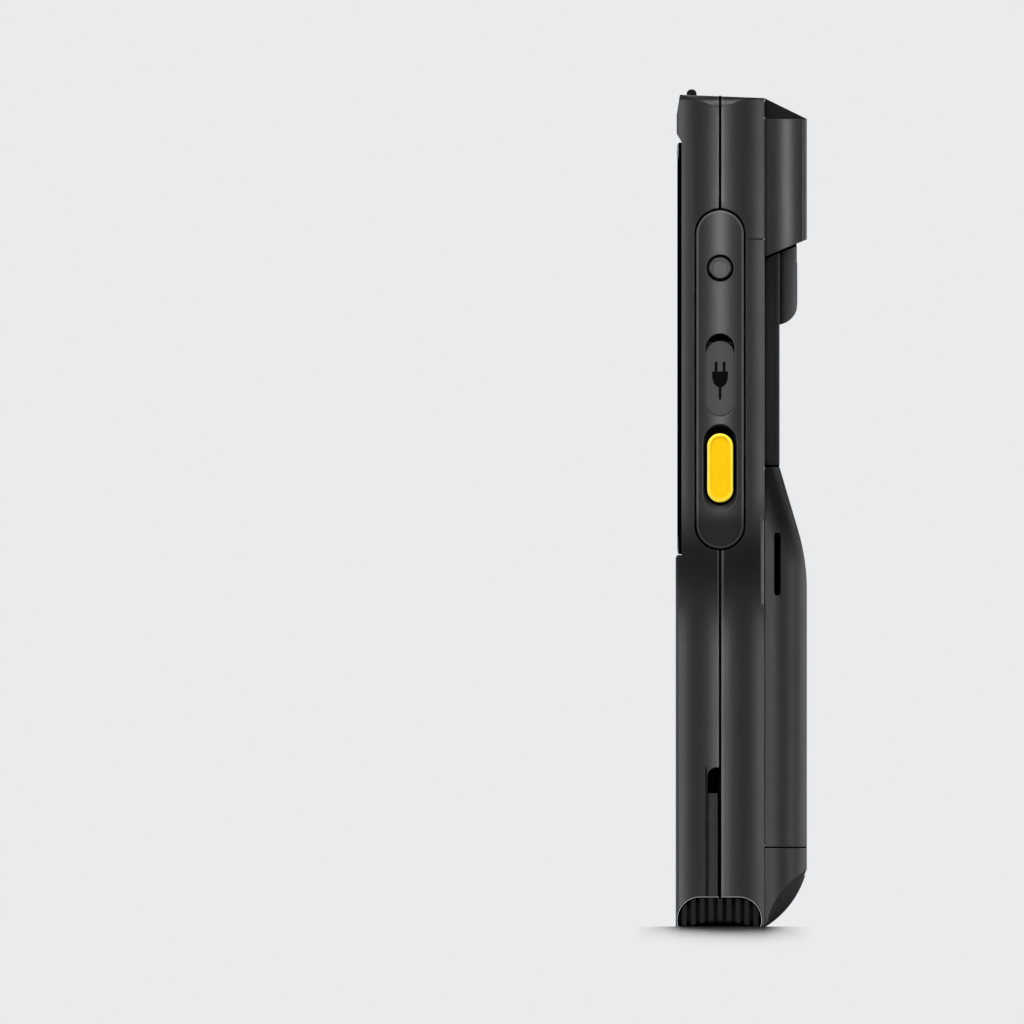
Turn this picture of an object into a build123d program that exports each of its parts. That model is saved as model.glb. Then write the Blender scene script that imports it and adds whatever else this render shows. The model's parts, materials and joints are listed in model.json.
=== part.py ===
from build123d import *
from math import atan, cos, degrees, radians, sin, sqrt, tan
import os

# A hand-held barcode data terminal, standing on its bottom end.
# Millimetres. +X is the user's right, -Y is the screen side, +Z is up along the body.
# The origin is on the base, on the parting plane between the front and rear housings.

# ---- Outer form
body_length = 176.8  # base to the top end, at the screen
top_fall = 0.75  # the top end is this much lower at the back of the rear housing
front_depth = 9.45  # parting plane to the keypad face
rear_depth = 9.45  # parting plane to the back edge of the rear housing
grip_depth = 18.45  # parting plane to the back of the head and of the grip
head_half_width = 36.5
grip_inset = 3.5  # the grip's sides lie this far inside the head's
back_inset = 3.3  # the rear parts of the head and the grip lie this far inside the sides
taper_low_drop = 116.8  # top end down to where the body widens from
taper_high_drop = 88.8  # and to
side_crown_radius = 16.4  # the sides bulge to a crown on the parting plane
front_edge_radius = 1.6
foot_corner_radius = 3.0
head_corner_radius = 3.0

# ---- Walls, gaps and fits
wall = 1.8
side_wall = 5.0  # crown to the inner space, where the side keys sit
band_reach = 8.5
end_wall = 2.2
seal_gap = 0.5  # visible line between the front and rear housings
seam = 0.15  # gap between covers that only lie against each other
key_gap = 0.3  # around a key in its hole
fit = 0.05  # around a piece that is glued or pressed into its seat
cut_past = 1.0  # how far a cut runs past what it cuts
small_corner = 1.0  # corners of inner parts

# ---- Display
lens_bottom = 79.1
lens_top_drop = 10.2  # top end down to the top of the lens
lens_inset = 2.9  # side of the head to the lens
lens_thickness = 0.9
lens_seat = 8.2  # parting plane to the face that the lens is glued to
lens_corner = 5.0
lcd_inset = 4.6  # side of the lens to the display
lcd_foot = 4.9  # bottom of the lens up to the display
lcd_head = 2.6  # display up to the top of the lens
lcd_thickness = 2.2
lcd_corner = 1.5
lip_depth = 9.24  # parting plane to the lip above the lens
lip_bevel = 1.7
main_board_thickness = 1.2
standoff_side = 20.0
standoff_end = 8.0
can_height = 1.7
board_corner = 2.0
can_gap = 6.0  # between the shield cans and to the edges of the board
chip_size = 6.0
chip_height = 1.0
earpiece_half_width = 7.0
earpiece_rise = 4.0  # above the lens
earpiece_slot = 1.2
earpiece_size = 4.8
earpiece_thickness = 2.2
bead_half_width = 12.0
bead_depth = -6.05
bead_width = 2.1
bead_sink = 1.6  # into the top end
bead_rise = 1.1  # out of the top end

# ---- Side inlays and keys, centred on the parting plane
plate_width = 10.0
plate_length = 71.8
plate_drop = 60.55  # top end down to the middle of the inlay
plate_seat = 2.5  # crown to the bottom of the inlay's recess
plate_gap = 0.5
round_key_radius = 2.45
round_key_hole = 2.9
upper_key_rise = 23.65  # above the middle of the inlay
lower_key_rise = 14.05
scan_key_width = 5.8
scan_key_length = 15.0
scan_key_drop = 18.8  # below the middle of the inlay
scoop_width = 7.7
scoop_length = 18.7
scoop_depth = 1.3
key_flange = 0.6  # flange thickness
key_flange_lip = 0.75  # how far a flange reaches past its cap
key_passage = 1.1  # room around a key behind its inlay
side_key_travel = 0.4
side_board_thickness = 0.8
side_board_width = 6.8
switch_height = 0.9
switch_size = 3.0
round_key_bevel = 0.35
round_key_dish = 0.2
scan_key_bevel = 0.45

# ---- Port and its flap, in the right inlay
flap_width = 6.0
flap_length = 15.9
flap_drop = 7.75  # middle of the inlay down to the flap's hinge
flap_notch = 1.5  # finger notch above the flap
flap_recess = 1.5
port_rise = 7.8  # above the flap's hinge
socket_height = 3.2
socket_width = 9.0
socket_length = 7.2
socket_mouth = 2.1  # the mouth's depth below the crown
socket_shell = 0.35
socket_corner = 1.28
socket_back = 1.0  # thickness of the closed end
socket_tongue = 6.3  # width of the tongue with the contacts
flap_plug = 1.0  # how far the flap's plug reaches towards the socket
flap_plug_width = 5.4

# ---- Grip, battery and tail
grip_corner_radius = 7.5
door_bottom = 16.95
door_drop = 79.2  # top end down to the top of the battery door
waist_inset = 5.81  # back of the grip to the back of the waist
grip_slope = 16.5  # degrees, upper part of the door
grip_bend_radius = 45.0
battery_inset = 4.7  # side of the door to the battery
battery_clearance = 0.65  # inside the door's bottom wall
battery_drop = 19.6  # top of the door down to the battery
battery_play = 1.25  # between the battery and the door
battery_corner = 1.5
bay_floor = 3.4
contact_block_half = 7.0
contact_block_front = 6.0
contact_block_height = 0.55
contact_block_depth = 3.0
card_half_width = 12.0
card_floor = 6.8
card_drop = 2.6  # below the top of the door
card_length = 8.5
bay_rib = 1.2
bay_rib_side = 22.0
bay_rib_rise = 1.3
slot_rib = 0.8
strap_slot_width = 1.3
strap_slot_length = 13.4
strap_slot_drop = 20.6  # top of the door down to the middle of the slot
strap_slot_inset = 6.3  # back of the grip to the slot
strap_scoop_width = 2.1
strap_scoop_length = 19.0
strap_scoop_rise = 0.5  # above the middle of the slot
strap_scoop_back = 0.25  # behind the edge of the rear housing
scoop_inset = 4.0
bevel_top = 12.2  # the tail's bevel starts here
bevel_middle = (2.55, 6.1)  # in from the back and up: the bevel's arc on the middle
bevel_side = (5.85, 7.0)  # and at the sides
latch_half_width = 6.0
latch_drop = 5.75  # below the bottom of the door
latch_height = 3.2
latch_travel = 1.5
tongue_half_width = 4.0
tongue_inset = 3.25  # back of the grip to the tongue
latch_bevel = 0.5
tongue_thickness = 1.2

# ---- Waist and camera
waist_side_inset = 7.0  # side of the grip to the waist
waist_corner = 1.5
waist_step = 2.4  # from the top of the door up to the deeper inside
camera_half_width = 14.0
camera_inset = 2.15  # back of the grip to the face of the bump
camera_foot = 8.6  # from the lens down to the end of the bump
camera_drop = 5.8  # lens below the head
camera_toe = 3.2  # height of the bump's curved end
camera_fullness = 0.62  # how far the toe's middle stands out, as a share of the bump
camera_radius = 3.6
camera_lip = 0.6  # ledge that carries the glass
module_play = 0.2
flash_radius = 1.6
flash_offset = 8.5
camera_block_half = 4.5
camera_block_depth = 4.6
camera_shelf_drop = 2.1  # face of the bump down to the module's shelf
speaker_half_width = 9.0
speaker_share = 0.43  # of the space below the camera
speaker_foot = 0.2
speaker_corner = 3.0
speaker_thickness = 4.0
grille_pitch = 2.4
grille_count = 4
grille_slot = 1.1

# ---- Scanner head
head_length = 30.8  # parting line of the head cover to the top end
head_skirt_drop = 3.7  # how much lower the head is at its front
window_drop = 5.2  # top end down to the start of the scan window
head_bulge = 1.0
head_spread = 0.18  # wider at the back
head_corner = 1.8
engine_half_width = 11.5
engine_depth = 11.0
engine_height = 15.5
engine_clearance = 4.4  # engine to the scan window
engine_bevel = 1.0
window_roof = 2.9  # thickness of the window over the engine
window_lip = 4.7  # solid part of the window at the back
optics_height = 1.5
optics_inset = 5.25  # back of the head to the optics
optics_reach = 3.1
optics_radius = 2.4
head_tube_radius = 3.4

# ---- Bottom end
arch_width = 18.0
arch_height = 6.3
arch_corner = 4.9
bumper_gap = 0.3
bumper_web_inset = 9.0  # side of the grip to the part that fills the arch closely
rib_pitch = 1.9
rib_groove = 0.9
rib_depth = 1.0
rail_width = 2.0
rail_top = 28.3
groove_top = 33.8
groove_width = 2.5
groove_depth = 2.4
contact_radius = 0.8
contact_pitch = 3.0
contact_count = 5
contact_depth = 4.0
contact_height = 0.6
rib_count = 6
groove_corner = 2.0
seal_setback = 0.8  # how far the seal is set back from the outside
seal_end = 0.15  # and from the top end

# ---- Keypad
keypad_inset = 6.0  # side of the grip to the keypad's recess
keypad_bottom = 9.5
keypad_top = 75.5
keypad_recess = 0.75
keypad_corner = 6.0
key_roundness = 0.3  # corner radius of a front key, as a share of its height
key_bevel = 0.4
dome_radius = 2.2
dome_height = 0.3
post_radius = 1.2
key_top_depth = 9.3
key_space = 4.6  # between front keys
key_margin = 2.9  # keypad's side to the outer keys
key_height = 7.4
row_pitch = 10.4
lowest_row = 15.5
front_key_travel = 0.4
centre_key_extra = 4.0  # wider than the other front keys
centre_key_height = 9.4
board_thickness = 0.8

# ---- Screws
screw_radius = 0.95
screw_head_radius = 1.9
screw_head_height = 1.4
screw_seat = 5.0
screw_reach = 9.5
boss_radius = 2.2
head_screw_drop = 3.8  # below the scan window
head_screw_in = 1.0  # inside the edge of the core
middle_screw_drop = 16.4  # below the top of the door
middle_screw_in = 0.6
foot_screw_height = 13.0
foot_screw_out = 0.4

# ---- Values that follow from the ones above
crown = head_half_width
grip_half_width = head_half_width - grip_inset
head_side = head_half_width - back_inset
grip_side = grip_half_width - back_inset
taper_low = body_length - taper_low_drop
taper_high = body_length - taper_high_drop
lens_half_width = head_half_width - lens_inset
lcd_half_width = lens_half_width - lcd_inset
waist_half_width = grip_half_width - waist_side_inset
waist_depth = grip_depth - waist_inset
bumper_web = grip_half_width - bumper_web_inset
keypad_half_width = grip_half_width - keypad_inset
key_width = (2 * keypad_half_width - 2 * key_margin - 2 * key_space) / 3
column_pitch = key_width + key_space
centre_key_width = key_width + centre_key_extra
inner_front = lens_seat - wall
lens_top = body_length - lens_top_drop
lcd_bottom = lens_bottom + lcd_foot
lcd_top = lens_top - lcd_head
earpiece_height = lens_top + earpiece_rise
bead_bottom = body_length - bead_sink
bead_top = body_length + bead_rise
plate_centre = body_length - plate_drop
upper_key_height = plate_centre + upper_key_rise
lower_key_height = plate_centre + lower_key_rise
scan_key_height = plate_centre - scan_key_drop
flap_bottom = plate_centre - flap_drop
port_height = flap_bottom + port_rise
door_top = body_length - door_drop
battery_half_width = grip_side - battery_inset
battery_bottom = door_bottom + wall + battery_clearance
battery_top = door_top - battery_drop
battery_thickness = grip_depth - wall - battery_play - bay_floor
strap_slot_height = door_top - strap_slot_drop
strap_slot_depth = grip_depth - strap_slot_inset
tongue_depth = grip_depth - tongue_inset
card_top = door_top - card_drop
card_bottom = card_top - card_length
latch_bottom = door_bottom - latch_drop
waist_space_bottom = door_top + waist_step
head_split = body_length - head_length
head_skirt = head_split - head_skirt_drop
head_shoulder = body_length - window_drop
head_screw_height = head_shoulder - head_screw_drop
engine_floor = head_shoulder - engine_clearance - engine_height
optics_depth = grip_depth - optics_inset
camera_depth = grip_depth - camera_inset
camera_shelf = camera_depth - camera_shelf_drop
camera_height = head_skirt - camera_drop
camera_bottom = camera_height - camera_foot
speaker_bottom = door_top + speaker_foot * (camera_bottom - door_top)
speaker_top = speaker_bottom + speaker_share * (camera_bottom - door_top)
full_length = body_length + end_wall
path_run = 8.0
band_width = grip_inset + band_reach  # swept part of each side wall
core_half_width = grip_half_width - band_width / 2
recess_floor = crown - plate_seat
cavity_side = crown - side_wall
middle_screw_height = door_top - middle_screw_drop
foot_screw_side = core_half_width + foot_screw_out
middle_screw_side = core_half_width - middle_screw_in
head_screw_side = core_half_width - head_screw_in
screw_spots = [
    (-foot_screw_side, foot_screw_height),
    (foot_screw_side, foot_screw_height),
    (-middle_screw_side, middle_screw_height),
    (middle_screw_side, middle_screw_height),
    (-head_screw_side, head_screw_height),
    (head_screw_side, head_screw_height),
]


def front_plane(depth):
    """The X-Z plane at this depth, facing the user."""
    return Plane.XZ.offset(-depth)


def block(x_span, y_span, z_span, mode=Mode.ADD):
    """A rectangular block between limits on each axis."""
    spans = (x_span, y_span, z_span)
    with Locations(tuple((low + high) / 2 for low, high in spans)):
        Box(*(high - low for low, high in spans), mode=mode)


def both(half_width):
    """Limits of something centred on the middle of the body."""
    return (-half_width, half_width)


def around(centre, size):
    """Limits of something of this size about a centre."""
    return (centre - size / 2, centre + size / 2)


def slab(x_span, z_span, y_span, radius, mode=Mode.ADD):
    """A rounded rectangle in the X-Z plane, extruded through a span of depth."""
    with BuildSketch(front_plane(y_span[0])) as shape:
        with Locations((sum(x_span) / 2, sum(z_span) / 2)):
            RectangleRounded(x_span[1] - x_span[0], z_span[1] - z_span[0], radius)
    extrude(shape.sketch, amount=y_span[0] - y_span[1], mode=mode)


def stadium(x_low, x_high, height, width, length, centre_depth=0, mode=Mode.ADD):
    """An upright stadium in the Y-Z plane, extruded to the right through a span of X."""
    with BuildSketch(Plane.YZ.offset(x_low)) as shape:
        with Locations((centre_depth, height)):
            SlotOverall(length, width, rotation=90)
    extrude(shape.sketch, amount=x_high - x_low, mode=mode)


def side_disc(x_low, x_high, height, radius, mode=Mode.ADD):
    """A disc on the parting plane whose axis runs across the body."""
    with BuildSketch(Plane.YZ.offset(x_low)) as shape:
        with Locations((0, height)):
            Circle(radius)
    extrude(shape.sketch, amount=x_high - x_low, mode=mode)


def depth_rod(x, z, radius, y_span, mode=Mode.ADD):
    """A round rod whose axis runs from the screen to the back."""
    with BuildSketch(front_plane(y_span[0])) as shape:
        with Locations((x, z)):
            Circle(radius)
    extrude(shape.sketch, amount=y_span[0] - y_span[1], mode=mode)


def finish(piece, name):
    """Label a finished piece and write it out."""
    piece.part.label = name
    export_step(piece.part, f"parts/{name}.step")


os.makedirs("parts", exist_ok=True)

# ---- The side line: straight grip, S-shaped widening, straight head
taper_turn = 2 * atan((head_half_width - grip_half_width) / (taper_high - taper_low))
taper_radius = (taper_high - taper_low) / 2 / sin(taper_turn)
with BuildLine(Plane.XZ) as side_line:
    grip_line = Line((grip_half_width, -path_run), (grip_half_width, taper_low))
    outward = JernArc(grip_line @ 1, (0, 1), taper_radius, -degrees(taper_turn))
    upright = JernArc(outward @ 1, outward % 1, taper_radius, degrees(taper_turn))
    Line(upright @ 1, (head_half_width, body_length + path_run))
side_path = side_line.wires()[0]


def side_bands(y_span, inset=0.0, crowned=True, edge_radius=0.0):
    """Both side walls between two depths, swept along the side line."""
    with BuildPart() as bands:
        with BuildSketch(Plane.XY.offset(-path_run)) as section:
            with Locations((grip_half_width - inset, y_span[0])):
                Rectangle(band_width, y_span[1] - y_span[0], align=(Align.MAX, Align.MIN))
            if crowned:
                with Locations((grip_half_width - side_crown_radius, 0)):
                    Circle(side_crown_radius - inset, mode=Mode.INTERSECT)
            if edge_radius > 0:
                edge = section.vertices().group_by(Axis.Y)[0].sort_by(Axis.X)[-1]
                fillet(edge, radius=edge_radius)
        sweep(path=side_path)
        mirror(about=Plane.YZ)
    return bands.part


def inner_space(y_span, z_span):
    """The space between the straight inner side walls, as a solid to cut out."""
    walls = side_bands(y_span, inset=side_wall, crowned=False)
    with BuildPart() as space:
        add(walls)
        block(both(core_half_width - side_wall), y_span, (-path_run, full_length))
        block(both(head_half_width), y_span, z_span, mode=Mode.INTERSECT)
    return space.part


# ---- The outline seen from the front: rounded corners at the foot and the head
with BuildPart() as outline:
    with BuildSketch(front_plane(-grip_depth)) as corners:
        with BuildLine():
            Polyline(
                (-grip_half_width, 0),
                (grip_half_width, 0),
                (grip_half_width, foot_corner_radius * 2),
                (head_half_width + path_run, foot_corner_radius * 4),
                (head_half_width + path_run, body_length - head_corner_radius * 4),
                (head_half_width, body_length - head_corner_radius * 2),
                (head_half_width, body_length),
                (-head_half_width, body_length),
                (-head_half_width, body_length - head_corner_radius * 2),
                (-head_half_width - path_run, body_length - head_corner_radius * 4),
                (-head_half_width - path_run, foot_corner_radius * 4),
                (-grip_half_width, foot_corner_radius * 2),
                close=True,
            )
        make_face()
        fillet(corners.vertices().group_by(Axis.Y)[0], radius=foot_corner_radius)
        fillet(corners.vertices().group_by(Axis.Y)[-1], radius=head_corner_radius)
    extrude(amount=-2 * grip_depth)
    with BuildSketch(Plane.YZ):
        with BuildLine():
            Polyline(
                (-front_depth, body_length),
                (rear_depth, body_length - top_fall),
                (2 * grip_depth, body_length - top_fall),
                (2 * grip_depth, full_length),
                (-front_depth, full_length),
                close=True,
            )
        make_face()
    extrude(amount=2 * head_half_width, both=True, mode=Mode.SUBTRACT)

# ---- What the side inlays, keys and port cut out of the housings
with BuildPart() as left_cuts:
    stadium(recess_floor, crown + path_run, plate_centre, plate_width + 2 * plate_gap,
            plate_length + 2 * plate_gap)
    for height in (upper_key_height, lower_key_height):
        side_disc(cavity_side - wall, recess_floor, height, round_key_radius + key_passage)
    stadium(cavity_side - wall, recess_floor, scan_key_height, scan_key_width + 2 * key_passage,
            scan_key_length + 2 * key_passage)
    mirror(about=Plane.YZ, mode=Mode.REPLACE)

with BuildPart() as right_cuts:
    stadium(recess_floor, crown + path_run, plate_centre, plate_width + 2 * plate_gap,
            plate_length + 2 * plate_gap)
    side_disc(cavity_side - wall, recess_floor, upper_key_height, round_key_radius + key_passage)
    stadium(cavity_side - wall, recess_floor, scan_key_height, scan_key_width + 2 * key_passage,
            scan_key_length + 2 * key_passage)
    block((cavity_side - wall, recess_floor), both(socket_height / 2 + key_gap),
          around(port_height, socket_width + 2 * key_gap))

with BuildPart() as arch:
    with BuildSketch(Plane.YZ):
        with Locations((-bumper_gap / 2, arch_height - arch_corner)):
            RectangleRounded(arch_width, 2 * arch_corner, arch_corner - fit)
    extrude(amount=head_half_width + path_run, both=True)

# ---- Front housing
foot_floor = arch_height + end_wall
head_ceiling = body_length - top_fall - end_wall
front_bands = side_bands((-front_depth, -seal_gap / 2), edge_radius=front_edge_radius)
front_space = inner_space((-inner_front, 0), (foot_floor, head_ceiling))

# Each front key: name, middle across, middle height, width, height, corner radius
key_rows = [lowest_row + row * row_pitch for row in range(6)]
key_columns = [-column_pitch, 0, column_pitch]
grid_names = [
    ["key_star", "key_0", "key_hash"],
    ["key_7", "key_8", "key_9"],
    ["key_4", "key_5", "key_6"],
    ["key_1", "key_2", "key_3"],
    ["key_back", "key_home", "key_menu"],
    ["key_left", "scan_key_front", "key_right"],
]
front_keys = []
for row_height, row_names in zip(key_rows, grid_names):
    for column, key_name in zip(key_columns, row_names):
        if key_name == "scan_key_front":
            size = (centre_key_width, centre_key_height)
        else:
            size = (key_width, key_height)
        front_keys.append((key_name, column, row_height, size[0], size[1]))

flange_front = -inner_front + seam
flange_back = flange_front + key_flange
dome_front = flange_back + front_key_travel + 2 * fit
board_front = dome_front + dome_height
post_spots = [(x, z) for x in (-column_pitch / 2, column_pitch / 2) for z in (key_rows[0], key_rows[4])]

with BuildPart() as dock_grooves:
    with BuildSketch(Plane.YZ.offset(grip_half_width - groove_depth)) as groove:
        with Locations((-seal_gap / 2 - groove_width, groove_top)):
            Rectangle(groove_width + seal_gap, groove_top, align=(Align.MIN, Align.MAX))
        fillet(groove.vertices().group_by(Axis.Y)[-1].sort_by(Axis.X)[0], radius=groove_corner)
    extrude(amount=path_run)
    mirror(about=Plane.YZ)
with BuildPart() as front_housing:
    add(front_bands)
    block(both(core_half_width), (-front_depth, -seal_gap / 2), (-path_run, full_length))
    add(outline.part, mode=Mode.INTERSECT)
    add(front_space, mode=Mode.SUBTRACT)
    with BuildSketch(Plane.YZ):
        with BuildLine():
            Polyline(
                (-2 * front_depth, lens_bottom - keypad_recess),
                (-front_depth, lens_bottom - keypad_recess),
                (-lens_seat - lens_thickness, lens_bottom - seam),
                (-lens_seat, lens_bottom - seam),
                (-lens_seat, lens_top + seam),
                (-lip_depth, lens_top + seam + lip_bevel),
                (-lip_depth, body_length - 2 * end_wall),
                (-lens_seat, body_length + end_wall),
                (-2 * front_depth, body_length + end_wall),
                close=True,
            )
        make_face()
    extrude(amount=head_half_width + path_run, both=True, mode=Mode.SUBTRACT)
    slab(both(lcd_half_width + fit), (lcd_bottom - fit, lcd_top + fit),
         (-front_depth, cut_past - inner_front), lcd_corner + fit, mode=Mode.SUBTRACT)
    slab(both(keypad_half_width), (keypad_bottom, keypad_top),
         (-2 * front_depth, keypad_recess - front_depth), keypad_corner, mode=Mode.SUBTRACT)
    for key_name, x, z, width, height in front_keys:
        slab(around(x, width + 2 * key_gap), around(z, height + 2 * key_gap),
             (-front_depth, cut_past - inner_front), height * key_roundness + key_gap,
             mode=Mode.SUBTRACT)
    for x, z in post_spots:
        depth_rod(x, z, post_radius, (-inner_front - fit, board_front))
    for x, z in screw_spots:
        depth_rod(x, z, boss_radius, (-inner_front - fit, -seal_gap / 2))
        depth_rod(x, z, screw_radius + fit, (screw_seat - screw_reach - key_gap, 0), mode=Mode.SUBTRACT)
    slab(both(earpiece_half_width - small_corner), around(earpiece_height, earpiece_slot),
         (-2 * front_depth, cut_past - inner_front), earpiece_slot / 2 - fit, mode=Mode.SUBTRACT)
    add(arch.part, mode=Mode.SUBTRACT)
    add(left_cuts.part, mode=Mode.SUBTRACT)
    add(right_cuts.part, mode=Mode.SUBTRACT)
    add(dock_grooves.part, mode=Mode.SUBTRACT)
    block(both(bead_half_width + fit), around(bead_depth, bead_width + 2 * fit),
          (bead_bottom - fit, full_length), mode=Mode.SUBTRACT)
finish(front_housing, "front_housing")

# ---- Rear housing
rear_bands = side_bands((seal_gap / 2, rear_depth))
grip_space = inner_space((0, bay_floor - wall + key_gap), (foot_floor, card_bottom))
card_space = inner_space((0, card_floor - wall), (card_bottom, waist_space_bottom))
waist_space = inner_space((0, rear_depth - wall), (waist_space_bottom, full_length))
with BuildPart() as rear_housing:
    add(rear_bands)
    block(both(core_half_width), (seal_gap / 2, rear_depth), (-path_run, full_length))
    add(outline.part, mode=Mode.INTERSECT)
    block(both(head_half_width + path_run), (0, 2 * rear_depth),
          (head_split, full_length + cut_past), mode=Mode.SUBTRACT)
    add(grip_space, mode=Mode.SUBTRACT)
    add(card_space, mode=Mode.SUBTRACT)
    add(waist_space, mode=Mode.SUBTRACT)
    block(both(battery_half_width + key_gap), (bay_floor, 2 * rear_depth),
          (battery_bottom - key_gap, battery_top + 2 * key_gap), mode=Mode.SUBTRACT)
    block(both(contact_block_half + fit), (contact_block_front - fit, 2 * rear_depth),
          (battery_top, battery_top + contact_block_height + fit), mode=Mode.SUBTRACT)
    block(both(card_half_width + fit), (card_floor, 2 * rear_depth),
          (card_bottom - fit, card_top + fit), mode=Mode.SUBTRACT)
    for x in (-bay_rib_side, bay_rib_side):
        block(around(x, bay_rib), (rear_depth - bay_rib, rear_depth + bay_rib_rise),
              (battery_top + 2 * wall, door_top - wall - bay_rib_rise))
    block(both(speaker_half_width + cut_past), (rear_depth - 2 * wall, 2 * rear_depth),
          (speaker_bottom - cut_past, speaker_top + cut_past), mode=Mode.SUBTRACT)
    for x, z in screw_spots[:4]:
        depth_rod(x, z, boss_radius, (seal_gap / 2, bay_floor))
        depth_rod(x, z, screw_radius + fit, (0, screw_seat + fit), mode=Mode.SUBTRACT)
        depth_rod(x, z, screw_head_radius + key_gap, (screw_seat, 2 * rear_depth), mode=Mode.SUBTRACT)
    add(arch.part, mode=Mode.SUBTRACT)
    add(left_cuts.part, mode=Mode.SUBTRACT)
    add(right_cuts.part, mode=Mode.SUBTRACT)
    scoop_side = grip_half_width - scoop_inset
    for x_low, x_high in ((scoop_side, 2 * crown), (-2 * crown, -scoop_side)):
        stadium(x_low, x_high, strap_slot_height + strap_scoop_rise, strap_scoop_width,
                strap_scoop_length, centre_depth=rear_depth + strap_scoop_back, mode=Mode.SUBTRACT)
finish(rear_housing, "rear_housing")

# ---- Head: one column whose sides bulge, cut into the cover and its window
with BuildPart() as head_column:
    with BuildSketch(Plane.XY.offset(head_skirt - end_wall)) as section:
        with BuildLine():
            edge = Line((head_side, rear_depth - cut_past), (head_side, rear_depth))
            bulge = ThreePointArc(
                edge @ 1,
                (head_side + head_bulge, (rear_depth + grip_depth) / 2),
                (head_side + head_spread, grip_depth),
            )
            Line(bulge @ 1, (0, grip_depth))
            mirror(about=Plane.YZ)
            Line((head_side, rear_depth - cut_past), (-head_side, rear_depth - cut_past))
        make_face()
        fillet(section.vertices().group_by(Axis.Y)[-1].sort_by(Axis.X)[-1], radius=head_corner)
        fillet(section.vertices().group_by(Axis.Y)[-1].sort_by(Axis.X)[0], radius=head_corner)
    extrude(amount=full_length - head_skirt)

head_space = inner_space((0, rear_depth - wall), (head_split - cut_past, head_ceiling))
with BuildPart() as head_block:
    add(head_column.part)
    with BuildSketch(Plane.YZ):
        with BuildLine():
            Polyline(
                (rear_depth, head_skirt),
                (grip_depth, head_split),
                (2 * grip_depth, head_split),
                (2 * grip_depth, head_shoulder),
                (0, head_shoulder),
                (0, head_split + seam),
                (rear_depth, head_split + seam),
                close=True,
            )
        make_face()
    extrude(amount=2 * head_half_width, both=True, mode=Mode.INTERSECT)
with BuildPart() as head_cover:
    add(rear_bands)
    block(both(core_half_width), (seal_gap / 2, rear_depth), (-path_run, full_length))
    add(outline.part, mode=Mode.INTERSECT)
    block(both(head_half_width + path_run), (0, 2 * rear_depth), (head_split + seam, full_length),
          mode=Mode.INTERSECT)
    add(head_block.part)
    add(head_space, mode=Mode.SUBTRACT)
    block(both(head_side - 2 * wall), (rear_depth - 2 * wall, grip_depth - wall),
          (engine_floor, head_shoulder - wall), mode=Mode.SUBTRACT)
    for x, z in screw_spots[4:]:
        depth_rod(x, z, head_tube_radius, (seal_gap / 2, grip_depth - wall / 2))
        depth_rod(x, z, screw_radius + fit, (0, screw_seat + fit), mode=Mode.SUBTRACT)
        depth_rod(x, z, screw_head_radius + key_gap / 2, (screw_seat, 2 * grip_depth), mode=Mode.SUBTRACT)
    block(both(engine_half_width), (optics_depth - optics_reach, optics_depth + optics_reach),
          (head_shoulder - 2 * wall, full_length), mode=Mode.SUBTRACT)
    add(left_cuts.part, mode=Mode.SUBTRACT)
    add(right_cuts.part, mode=Mode.SUBTRACT)
finish(head_cover, "head_cover")

with BuildPart() as scan_window:
    add(head_column.part)
    with BuildSketch(Plane.YZ):
        with BuildLine():
            Polyline(
                (rear_depth + fit, head_shoulder),
                (grip_depth, head_shoulder),
                (rear_depth + fit, body_length - top_fall - fit),
                close=True,
            )
        make_face()
    extrude(amount=2 * head_half_width, both=True, mode=Mode.INTERSECT)
    with BuildSketch(Plane.YZ):
        with BuildLine():
            Polyline(
                (rear_depth + wall, head_shoulder - cut_past),
                (rear_depth + wall, body_length - top_fall - window_roof),
                (grip_depth - window_lip, head_shoulder),
                (grip_depth - window_lip, head_shoulder - cut_past),
                close=True,
            )
        make_face()
    extrude(amount=engine_half_width + wall, both=True, mode=Mode.SUBTRACT)
finish(scan_window, "scan_window")

# ---- Seal between the housings, set back from the outside so that it shows as a dark line
seal_bands = side_bands((-seal_gap / 2, seal_gap / 2), inset=seal_setback, crowned=False)
seal_space = inner_space(both(cut_past), (foot_floor, head_ceiling))
seal_span = (arch_height + seal_setback / 2, body_length - top_fall - seal_end)
with BuildPart() as housing_seal:
    add(seal_bands)
    block(both(core_half_width), both(seal_gap / 2), seal_span)
    block(both(head_half_width), both(cut_past), seal_span, mode=Mode.INTERSECT)
    add(outline.part, mode=Mode.INTERSECT)
    add(seal_space, mode=Mode.SUBTRACT)
    add(arch.part, mode=Mode.SUBTRACT)
    block(both(head_half_width), both(cut_past), around(plate_centre, plate_length + 2 * plate_gap),
          mode=Mode.SUBTRACT)
    for x, z in screw_spots:
        depth_rod(x, z, boss_radius + fit, both(cut_past), mode=Mode.SUBTRACT)
    add(dock_grooves.part, mode=Mode.SUBTRACT)
finish(housing_seal, "housing_seal")

# ---- Side inlays, with the crown of the sides
inlay_bands = side_bands((-front_depth, rear_depth))
with BuildPart() as inlay:
    add(inlay_bands)
    stadium(recess_floor, crown + path_run, plate_centre, plate_width, plate_length, mode=Mode.INTERSECT)
    with BuildSketch(Plane.YZ.offset(crown)) as scoop_mouth:
        with Locations((0, scan_key_height)):
            SlotOverall(scoop_length, scoop_width, rotation=90)
    with BuildSketch(Plane.YZ.offset(crown - scoop_depth)) as scoop_floor:
        with Locations((0, scan_key_height)):
            SlotOverall(scan_key_length + 2 * key_gap, scan_key_width + 2 * key_gap, rotation=90)
    loft(mode=Mode.SUBTRACT)
    stadium(0, crown, scan_key_height, scan_key_width + 2 * key_gap, scan_key_length + 2 * key_gap,
            mode=Mode.SUBTRACT)
    side_disc(0, 2 * crown, upper_key_height, round_key_hole, mode=Mode.SUBTRACT)

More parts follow.
